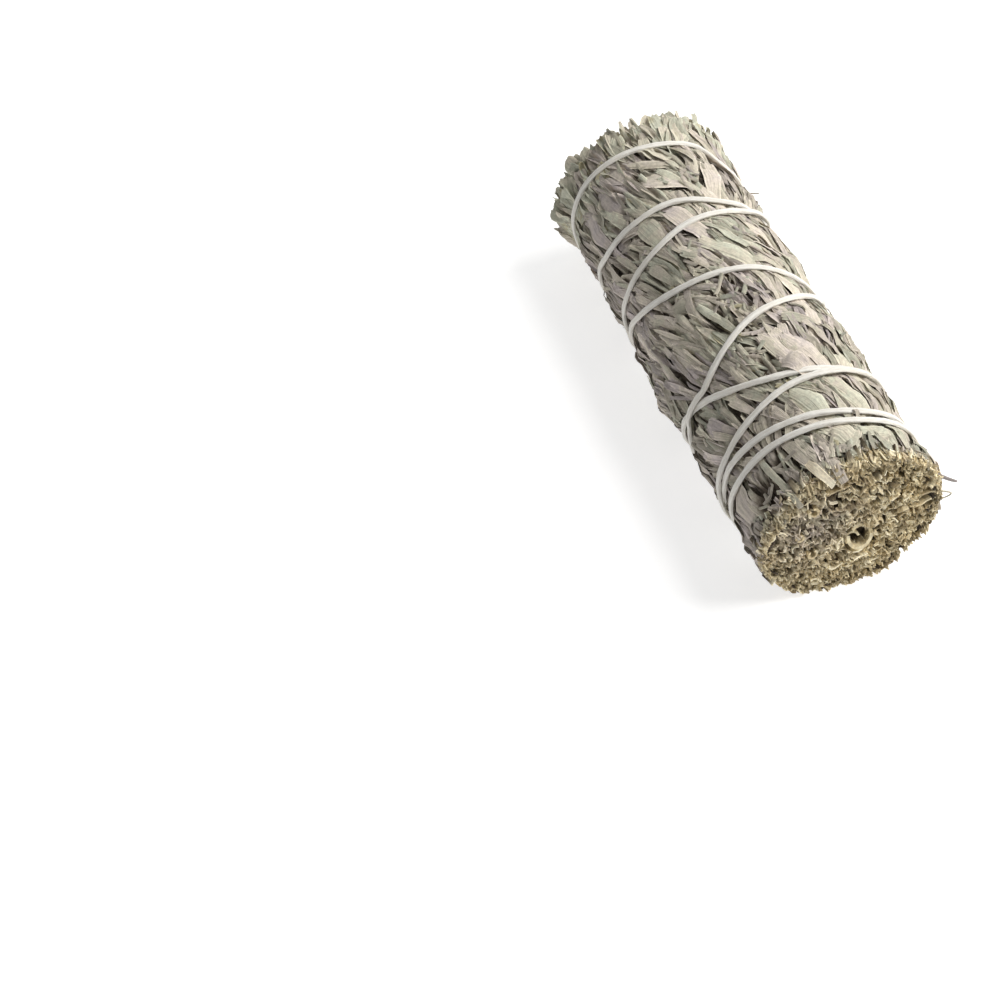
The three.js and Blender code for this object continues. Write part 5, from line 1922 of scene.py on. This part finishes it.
@dataclass(frozen=True)
class CottonFinish:
    """Off-white cotton: fine fibres along the strands, soft and dull, and a little grey painted shade in the hollows
    between strands.
    """

    name: str = "cotton_string_yarn"
    light: tuple[float, float, float, float] = (0.9, 0.885, 0.83, 1.0)
    shade: tuple[float, float, float, float] = (0.74, 0.7, 0.63, 1.0)

    def material(self, nap: bpy.types.NodeTree) -> bpy.types.Material:
        """Makes the material.

        Args:
            nap: The group that gives the felted height.

        Returns:
            The material.
        """
        material = bpy.data.materials.new(self.name)
        material.use_nodes = True
        bench = Bench(material.node_tree)
        shader = material.node_tree.nodes["Principled BSDF"]
        blade = bench.node("ShaderNodeSeparateXYZ",
                           Vector=bench.node("ShaderNodeUVMap", uv_map="blade").outputs["UV"])
        traits = bench.node("ShaderNodeSeparateXYZ",
                            Vector=bench.node("ShaderNodeAttribute", attribute_name="traits").outputs["Vector"])
        slanted = bench.math("ADD", bench.math("MULTIPLY", blade.outputs[1], 22.0),
                             bench.math("MULTIPLY", blade.outputs[0], 9.0))
        along = bench.node("ShaderNodeCombineXYZ", X=bench.math("MULTIPLY", blade.outputs[0], 5.0), Y=slanted)
        fibres = bench.noise(along.outputs[0], 1.0, 4.0, 0.65)
        place = bench.node("ShaderNodeTexCoord").outputs["Object"]
        soil = bench.span(bench.noise(place, 120.0, 2.0), 0.4, 0.75, 0.0, 0.35)
        # The shade colour serves both: darker fibres, and painted shade in the hollows between strands from the depth.
        share = bench.math("ADD", bench.span(fibres, 0.35, 0.7, 0.0, 0.45),
                           bench.math("MULTIPLY", traits.outputs[2], 0.8), clamped=True)
        colour = bench.mix(share, self.light, self.shade)
        colour = bench.mix(soil, colour, (0.74, 0.68, 0.58, 1.0))
        bench.feed(shader.inputs["Base Color"], colour)
        felt = bench.node("ShaderNodeGroup", node_tree=nap)
        bench.feed(felt.inputs["Fibre Scale"], 5200.0)
        bench.feed(felt.inputs["Swell Scale"], 1800.0)
        height = bench.math("ADD", bench.math("MULTIPLY", fibres, 1.2), felt.outputs["Height"])
        bump = bench.node("ShaderNodeBump", Strength=0.8, Distance=0.00014, Height=height)
        bench.feed(shader.inputs["Normal"], bump.outputs["Normal"])
        bench.feed(shader.inputs["Roughness"], bench.span(felt.outputs["Fibres"], 0.3, 0.7, 0.8, 0.95))
        shader.inputs["Specular IOR Level"].default_value = 0.2
        shader.inputs["Sheen Weight"].default_value = 0.25
        shader.inputs["Sheen Roughness"].default_value = 0.45
        return material


def settled(piece: bpy.types.Object, node: str, material: bpy.types.Material) -> None:
    """Rides a piece on the body, puts it in its node's place and dresses it.

    Args:
        piece: The piece.
        node: The CAD node that it stands for.
        material: Its material.
    """
    piece.data.materials.append(material)
    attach(piece, BODY)
    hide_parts(node)
    triangles = sum(len(face.vertices) - 2 for face in piece.data.polygons)
    log.info("%s stands for %s with %d triangles", piece.name, node, triangles)


@dataclass(frozen=True)
class Foliage:
    """All the stick's leaves, shared out among its sprigs."""

    cover: Cover

    def places(self, strips: Strips) -> tuple[Array, Array, Array]:
        """The station, the angle and the radius of strips' ends."""
        y, z = strips.end[:, 1], strips.end[:, 2] - self.cover.bundle.axis_height
        return strips.end[:, 0] + self.cover.bundle.length / 2, np.arctan2(z, y), np.hypot(y, z)

    def build(self) -> dict[str, bpy.types.Object]:
        """Makes one piece for each sprig.

        Returns:
            The pieces, by the name of the node that each stands for.
        """
        bundle, cover = self.cover.bundle, self.cover
        end = LeafyEnd(cover)
        side = Blades.joined([SideLeaves(cover, Lie()).build(), end.ring_blades()])
        middle = side.station - side.length / 2 * np.cos(side.heading)
        turn = side.angle + side.length / 2 * np.sin(side.heading) / bundle.side_radius
        side_owner = bundle.outer_sprig_at(middle, turn)
        tips, tip_angle, tip_radius = end.standing()
        tip_owner = self.owners(tips.station, tip_angle, tip_radius)
        sets = []
        face = CutEnd(cover)
        small = Strips.joined([face.build(), face.tucked(LooseCurls(cover).build())])
        for strips, wide in ((small, Strips.COARSE), (face.shown_curls(), Strips.FINE)):
            sets.append((strips, self.owners(*self.places(strips)), wide))
        core = PackedCore(bundle)
        pieces = {}
        for sprig in range(bundle.outer_sprigs + bundle.inner_sprigs):
            outer = sprig < bundle.outer_sprigs
            number = sprig if outer else sprig - bundle.outer_sprigs
            shells = [core.outer(number) if outer else core.inner(number)]
            if outer:
                shells.append(side.taken(side_owner == sprig).laid(cover))
            mine = tip_owner == sprig
            shells.append(end.stand(tips.taken(mine), tip_angle[mine], tip_radius[mine]))
            for strips, owners, wide in sets:
                shells.append(strips.taken(owners == sprig).shell(bundle, wide))
            if sprig == 0:
                shells.append(Strays().build())
            name = f"{'outer' if outer else 'inner'}_sprig_{number + 1}"
            pieces[f"{name}_leaves"] = write_mesh(f"{name}_foliage", Shell.joined(shells))
        return pieces

    def owners(self, station: Array, angle: Array, radius: Array) -> Array:
        """The sprig that holds each place: the outer ones' numbers, then the inner ones'."""
        bundle = self.cover.bundle
        inner = bundle.outer_sprigs + bundle.inner_sprig_at(angle)
        return np.where(radius < bundle.inner_reach, inner, bundle.outer_sprig_at(station, angle))

    def dress(self, pieces: dict[str, bpy.types.Object], leaf: bpy.types.Material,
              heart: bpy.types.Material) -> None:
        """Puts each sprig's piece in its node's place, with its finish.

        Args:
            pieces: The pieces by node.
            leaf: The material of the outer sprigs.
            heart: The material of the inner ones.
        """
        for node, piece in pieces.items():
            outer = node.startswith("outer")
            settled(piece, node, leaf if outer else heart)


@dataclass(frozen=True)
class WoodyStem:
    """A sprig's stem: bark along it, and a cut end with wood round a hollow pith."""

    bundle: Bundle
    node: str
    angle: float
    at_radius: float
    seed: int
    radius: float = 1.2
    end: float = 106.6
    hole_share: float = 0.42
    taper: float = 0.55
    start: float = 16.0
    hole_depth: float = 1.6
    around: int = 30

    def build(self) -> bpy.types.Object:
        """Makes the stem by turning a profile of stations and radii about its own line.

        The radius at a turn t is the profile's, times 1 plus three small waves of t.

        Returns:
            The stem's object.
        """
        random = np.random.default_rng(self.seed)
        # Each profile row holds a station, a share of the radius, a cut share and a depth; the depth is painted shade
        # that darkens the hollow pith further in.
        profile = [(self.start, 0.0, 0, 1), (self.start, self.taper, 0, 0)]
        profile += [(station, mixed(self.taper, 1.0, (station - self.start) / (self.end - self.start)), 0, 0)
                    for station in np.linspace(self.start + 1, self.end - 0.25, 26)]
        profile += [(self.end - 0.1, 0.97, 0.3, 0), (self.end, 0.88, 1, 0), (self.end - 0.06, 0.7, 1, 0),
                    (self.end + 0.02, 0.56, 1, 0), (self.end - 0.05, self.hole_share + 0.04, 1, 0.1),
                    (self.end - 0.3, self.hole_share, 0.8, 0.5), (self.end - 0.7, self.hole_share * 0.9, 0.5, 0.8),
                    (self.end - self.hole_depth, self.hole_share * 0.75, 0.4, 0.95),
                    (self.end - self.hole_depth, 0.0, 0.4, 1)]
        station, share, cut, depth = np.array(profile, float).T
        turn = np.arange(self.around) * TURN / self.around
        phases = drawn(random, 3, 0, TURN)
        waves = sum(size * np.sin(lobes * turn + phase)
                    for size, lobes, phase in zip((0.06, 0.04, 0.025), (2, 3, 7), phases))
        ridges = 0.03 * np.sin(13 * turn[None] + 0.4 * station[:, None])
        radius = self.radius * share[:, None] * (1 + waves[None] + ridges)
        y = self.at_radius * math.cos(self.angle) + radius * np.cos(turn)[None]
        z = self.bundle.axis_height + self.at_radius * math.sin(self.angle) + radius * np.sin(turn)[None]
        uneven = 0.08 * np.sin(3 * turn + phases[0])[None] * (cut[:, None] > 0.2)
        x = np.broadcast_to(station[:, None], radius.shape) + uneven - self.bundle.length / 2
        rows = len(station)
        points = np.stack([x, y, z], axis=-1)
        points[[0, -1]] = points[[0, -1]].mean(axis=1, keepdims=True)
        traits = np.stack([np.zeros_like(x), np.full_like(x, 0.5), np.repeat(depth[:, None], self.around, 1)], -1)
        uv = np.stack([station[:, None] / 10 + 0 * radius, np.broadcast_to(turn / TURN, radius.shape)], axis=-1)
        uv[cut > 0.5, :, 0] = radius[cut > 0.5] / 10
        quads = grid_quads(1, rows, self.around)
        keep = np.ones(len(quads), bool)
        keep[:self.around] = False
        keep[-self.around:] = False
        first = np.arange(self.around)
        after = (first + 1) % self.around
        last = (rows - 2) * self.around
        fans = np.concatenate([
            np.stack([np.zeros(self.around, int), after + self.around, first + self.around], axis=-1),
            np.stack([first + last, after + last, np.full(self.around, last + self.around)], axis=-1),
        ])
        used = np.ones(rows * self.around, bool)
        used[1:self.around] = False
        used[last + self.around + 1:] = False
        renumber = np.cumsum(used) - 1
        shell = Shell(points.reshape(-1, 3)[used], renumber[quads[keep]], renumber[fans], uv.reshape(-1, 2)[used],
                      traits.reshape(-1, 3)[used], np.repeat(cut, self.around)[used])
        return write_mesh(f"{self.node}_wood", shell.facing_out(), 60.0)


@dataclass(frozen=True)
class Stems:
    """All the stems: each has its radius, the station where it ends and its hollow pith's share of it."""

    bundle: Bundle
    outer_at: float = 13.4
    inner_at: float = 4.9
    outer: tuple[tuple[float, float, float], ...] = (
        (1.05, 106.0, 0.2), (0.95, 105.2, 0.3), (0.9, 104.9, 0.55), (1.15, 105.8, 0.25), (1.25, 106.5, 0.35),
        (1.0, 106.3, 0.15), (1.2, 106.7, 0.4),
    )
    inner: tuple[tuple[float, float, float], ...] = ((0.95, 106.2, 0.3), (1.1, 106.4, 0.45), (1.3, 104.6, 0.62))

    def all(self) -> list[WoodyStem]:
        """The stems, those of the outer sprigs first."""
        stems = []
        for kind, at, sizes in (("outer", self.outer_at, self.outer), ("inner", self.inner_at, self.inner)):
            for number, (radius, end, hole) in enumerate(sizes):
                angle = (number + 0.5) * TURN / len(sizes)
                seed = 60 + number + (20 if kind == "inner" else 0)
                stems.append(WoodyStem(self.bundle, f"{kind}_sprig_{number + 1}_stem", angle, at, seed, radius,
                                       end, hole))
        return stems


@dataclass(frozen=True)
class BindingString:
    """The cotton string: four soft strands laid side by side with a slow twist, its knot and its two tails."""

    cover: Cover
    width: float = 1.5
    thickness: float = 0.9
    ride: float = 1.2
    over: float = 0.48
    under: float = 0.38
    strands: int = 4
    groove: float = 0.13
    twist_length: float = 15.0
    around: int = 16
    step: float = 0.42
    knot_angle: float = math.radians(330)
    knot_station: float = 97.3
    knot_size: float = 0.43
    tails: tuple[tuple[float, float], ...] = ((5.5, 12.0), (4.2, -14.0))
    floor: float = 0.05

    def centre_line(self) -> tuple[Array, Array]:
        """The centre line of the winding, at even steps.

        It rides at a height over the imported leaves, lifted over an earlier turn that it crosses and pressed
        down under a later one.

        Returns:
            Points, and the way out from the axis at each.
        """
        bundle = self.cover.bundle
        turns, stations = self.cover.winding.dense()
        run = np.hypot(np.diff(turns) * bundle.side_radius, np.diff(stations))
        travelled = np.concatenate([[0], np.cumsum(run)])
        even = np.linspace(0, travelled[-1], round(travelled[-1] / self.step))
        turn, station = np.interp(even, travelled, turns), np.interp(even, travelled, stations)
        radius = bundle.packed_radius(station, turn) + self.ride + self.crossing(turn, station)
        points = bundle.place(station, turn, radius)
        points[:, 2] = np.maximum(bundle.axis_height + radius * np.sin(turn), self.thickness / 2 + self.floor)
        outward = np.stack([np.zeros(len(turn)), np.cos(turn), np.sin(turn)], axis=-1)
        return points, outward

    def crossing(self, turn: Array, station: Array) -> Array:
        """How far each step is lifted over earlier turns and pressed down under later ones, by its distance.

        Args:
            turn: Turn angles along the string.
            station: Stations along it.

        Returns:
            Changes of the radius in millimetres.
        """
        radius = self.cover.bundle.side_radius
        change = np.zeros(len(turn))
        for start in range(0, len(turn), 400):
            part = slice(start, start + 400)
            off = turn[part, None] - turn[None]
            gap = np.hypot(wrapped(off) * radius, station[part, None] - station[None])
            for other, height in ((off > math.pi, self.over), (off < -math.pi, -self.under)):
                nearest = np.where(other, gap, np.inf).min(axis=1)
                change[part] += height * (1 - smooth((nearest - 0.6 * self.width) / (0.95 * self.width)))
        return change

    def swept(self, path: Array, outward: Array, size: float = 1.0, taper: float = 0.0) -> Shell:
        """The strands' section swept along a path.

        The section is an ellipse whose radius at a turn t is cut in by the groove where |cos| of half the
        strands' count times (t - twist) is small, which leaves round strands.

        Args:
            path: Points along the centre.
            outward: The way out from the stick at each.
            size: The section's size.
            taper: How far the section thins out at the path's end.

        Returns:
            The closed shell.
        """
        run = unit(np.gradient(path, axis=0))
        across = unit(np.cross(outward, run))
        up = np.cross(run, across)
        travelled = np.concatenate([[0], np.cumsum(np.linalg.norm(np.diff(path, axis=0), axis=1))])
        turn = np.arange(self.around) * TURN / self.around
        twist = TURN * travelled / self.twist_length / self.strands
        strand = np.abs(np.cos(self.strands / 2 * (turn[None] - twist[:, None])))
        lobes = 1 - self.groove * (1 - strand) ** 1.5 * 2
        thin = 1 - taper * smooth((travelled / travelled[-1] - 0.75) / 0.25)
        wobble = 1 + 0.035 * np.sin(travelled * 1.9) + 0.03 * np.sin(travelled * 0.73 + 1)
        scale = (size * thin * wobble)[:, None] * lobes
        x = self.width / 2 * np.cos(turn)[None] * scale
        y = self.thickness / 2 * np.sin(turn)[None] * scale
        rings = path[:, None] + across[:, None] * x[..., None] + up[:, None] * y[..., None]
        rings[..., 2] = np.maximum(rings[..., 2], 0.02)
        rows = len(path)
        points = np.concatenate([rings.reshape(-1, 3), path[[0, -1]]])
        first = np.arange(self.around)
        after = (first + 1) % self.around
        last = (rows - 1) * self.around
        ends = np.concatenate([
            np.stack([after, first, np.full(self.around, rows * self.around)], axis=-1),
            np.stack([first + last, after + last, np.full(self.around, rows * self.around + 1)], axis=-1),
        ])
        uv = np.stack([np.broadcast_to(travelled[:, None] / 10, scale.shape),
                       np.broadcast_to(turn[None] / TURN, scale.shape)], axis=-1).reshape(-1, 2)
        uv = np.concatenate([uv, uv[[0, -1]]])
        # Painted shade: the depth grows in the grooves between strands.
        depth = (1 - strand).ravel() ** 2
        traits = np.zeros((len(points), 3))
        traits[:-2, 2] = depth
        return Shell(points, grid_quads(1, rows, self.around), ends, uv, traits,
                     np.zeros(len(points))).facing_out()

    def knot(self) -> Shell:
        """The knot: the string drawn into a trefoil, (sin t + 2 sin 2t, cos t - 2 cos 2t, -sin 3t)."""
        bundle = self.cover.bundle
        t = np.linspace(0, TURN, 90)[:-1]
        t = np.concatenate([t, t[:1] + TURN * 0.999])
        shape = np.stack([np.sin(t) + 2 * np.sin(2 * t), np.cos(t) - 2 * np.cos(2 * t), -np.sin(3 * t)], axis=-1)
        outward = np.array([0.0, math.cos(self.knot_angle), math.sin(self.knot_angle)])
        along = np.array([1.0, 0.0, 0.0])
        side = np.cross(outward, along)
        radius = bundle.packed_radius(self.knot_station, self.knot_angle) + self.ride + 0.55
        middle = bundle.place(np.array(self.knot_station), np.array(self.knot_angle), np.array(radius))
        path = middle + self.knot_size * (shape[:, :1] * along + shape[:, 1:2] * side
                                          + 0.9 * shape[:, 2:] * outward)
        return self.swept(path, np.tile(outward, (len(path), 1)), 0.62)

    def tail(self, reach: float, slant: float) -> Shell:
        """A loose tail of the knot, pressed back along the side and frayed thin at its end."""
        bundle = self.cover.bundle
        share = np.linspace(0, 1, 16)
        station = self.knot_station + reach * share
        angle = self.knot_angle + math.radians(slant) * share**1.4
        radius = bundle.packed_radius(station, angle) + self.ride + 0.2 * np.sin(math.pi * share)
        outward = np.stack([0 * share, np.cos(angle), np.sin(angle)], axis=-1)
        return self.swept(bundle.place(station, angle, radius), outward, 0.85, 0.45)

    def build(self) -> bpy.types.Object:
        """Makes the string with its knot and tails."""
        path, outward = self.centre_line()
        length = np.linalg.norm(np.diff(path, axis=0), axis=1).sum()
        log.info("the winding is %.0f mm long", length)
        shells = [self.swept(path, outward), self.knot()]
        shells += [self.tail(reach, slant) for reach, slant in self.tails]
        return write_mesh("binding_string_yarn", Shell.joined(shells), 80.0)


@dataclass(frozen=True)
class Studio:
    """A pale floor, soft light from the upper right of the view, and the camera.

    The camera's place comes from a fit to the photograph: how far it is turned about Z, how high it looks
    down from, its roll, the pixel where the stick's middle is seen and the distance along its axis.
    """

    turned: float = math.radians(69.81)
    raised: float = math.radians(50.47)
    roll: float = math.radians(-0.334)
    middle_pixel: tuple[float, float] = (736.47, 339.64)
    image_size: float = 1000.0
    lens: float = 72.0
    sensor: float = 36.0
    distance: float = 414.89
    key_power: float = 9.8
    fill_power: float = 1.9
    sky: float = 0.23
    glow: float = 0.68
    backdrop: float = 0.84
    exposure: float = 0.0

    def axes(self) -> tuple[Vector, Vector, Vector]:
        """The camera's right, up and back."""
        back = Vector((math.sin(self.turned) * math.cos(self.raised),
                       -math.cos(self.turned) * math.cos(self.raised), math.sin(self.raised)))
        right = Vector((math.cos(self.turned), math.sin(self.turned), 0.0))
        up = back.cross(right)
        cos, sin = math.cos(self.roll), math.sin(self.roll)
        return right * cos + up * sin, up * cos - right * sin, back

    def camera(self, bundle: Bundle) -> bpy.types.Object:
        """Makes the camera and sets it as the scene's."""
        right, up, back = self.axes()
        focal = self.lens / self.sensor * self.image_size
        across = (self.middle_pixel[0] - self.image_size / 2) / focal
        down = (self.middle_pixel[1] - self.image_size / 2) / focal
        middle = Vector((0.0, 0.0, bundle.axis_height))
        place = (middle - (right * across - up * down - back) * self.distance) * MM
        data = bpy.data.cameras.new("view")
        data.lens, data.sensor_width = self.lens, self.sensor
        data.clip_start, data.clip_end = 0.01, 20.0
        camera = bpy.data.objects.new("view", data)
        camera.matrix_world = Matrix.Translation(place) @ Matrix((right, up, back)).transposed().to_4x4()
        bpy.context.scene.collection.objects.link(camera)
        bpy.context.scene.camera = camera
        return camera

    def lamp(self, name: str, way: Vector, distance: float, size: float, power: float,
             colour: tuple[float, float, float]) -> None:
        """Adds a square soft light that looks at the stick.

        Args:
            name: Its name.
            way: The direction in which it stands.
            distance: How far away.
            size: Its side.
            power: Its power in watts.
            colour: Its colour.
        """
        data = bpy.data.lights.new(name, "AREA")
        data.shape, data.size, data.energy, data.color = "SQUARE", size, power, colour
        lamp = bpy.data.objects.new(name, data)
        lamp.location = way.normalized() * distance
        lamp.rotation_euler = way.to_track_quat("Z", "Y").to_euler()
        bpy.context.scene.collection.objects.link(lamp)

    def floor(self) -> bpy.types.Object:
        """Makes the pale floor: a broad sheet with a faint grain, lit a little from below."""
        half = 2000.0
        corners = np.array([[-half, -half, 0], [half, -half, 0], [half, half, 0], [-half, half, 0]])
        shell = Shell(corners, np.array([[0, 1, 2, 3]]), np.zeros((0, 3), int), corners[:, :2] / 1000,
                      np.zeros((4, 3)), np.zeros(4))
        floor = write_mesh("pale_floor", shell)
        material = bpy.data.materials.new("pale_floor_paper")
        material.use_nodes = True
        bench = Bench(material.node_tree)
        shader = material.node_tree.nodes["Principled BSDF"]
        grain = bench.noise(bench.node("ShaderNodeTexCoord").outputs["Object"], 90.0)
        bench.feed(shader.inputs["Base Color"], bench.mix(grain, (0.58, 0.58, 0.58, 1), (0.62, 0.62, 0.62, 1)))
        shader.inputs["Roughness"].default_value = 1.0
        shader.inputs["Specular IOR Level"].default_value = 0.0
        shader.inputs["Emission Color"].default_value = (1.0, 1.0, 1.0, 1.0)
        shader.inputs["Emission Strength"].default_value = self.glow
        floor.data.materials.append(material)
        return floor

    def build(self, bundle: Bundle) -> None:
        """Makes the camera, the floor and the light."""
        self.camera(bundle)
        self.floor()
        self.lamp("key", Vector((0.18, 0.8, 1.05)), 0.9, 0.6, self.key_power, (1.0, 0.985, 0.96))
        self.lamp("fill", Vector((-1.0, 0.5, 0.7)), 1.0, 0.9, self.fill_power, (0.97, 0.98, 1.0))
        world = bpy.data.worlds.new("studio")
        world.use_nodes = True
        bench = Bench(world.node_tree)
        background = world.node_tree.nodes["Background"]
        background.inputs["Color"].default_value = (1.0, 1.0, 1.0, 1.0)
        seen = bench.node("ShaderNodeLightPath").outputs["Is Camera Ray"]
        bench.feed(background.inputs["Strength"], bench.span(seen, 0.0, 1.0, self.sky, self.backdrop))
        scene = bpy.context.scene
        scene.world = world
        scene.view_settings.view_transform = "Standard"
        scene.view_settings.exposure = self.exposure
        log.info("studio ready")


def main() -> None:
    """Builds the stick's pieces in order and the studio round them."""
    logging.basicConfig(level=logging.INFO, format="%(name)s: %(message)s")
    bundle = Bundle()
    cover = Cover(bundle, Winding())
    crevice, nap = crevice_group(), nap_group()
    Studio().build(bundle)
    foliage = Foliage(cover)
    foliage.dress(foliage.build(), SageFinish("sage_leaf_felt").material(crevice, nap),
                  SageFinish("sage_heart_felt").material(crevice, nap))
    wood = StemFinish().material(crevice, nap)
    for stem in Stems(bundle).all():
        settled(stem.build(), stem.node, wood)
    settled(BindingString(cover).build(), "binding_string", CottonFinish().material(nap))


if __name__ == "__main__":
    main()
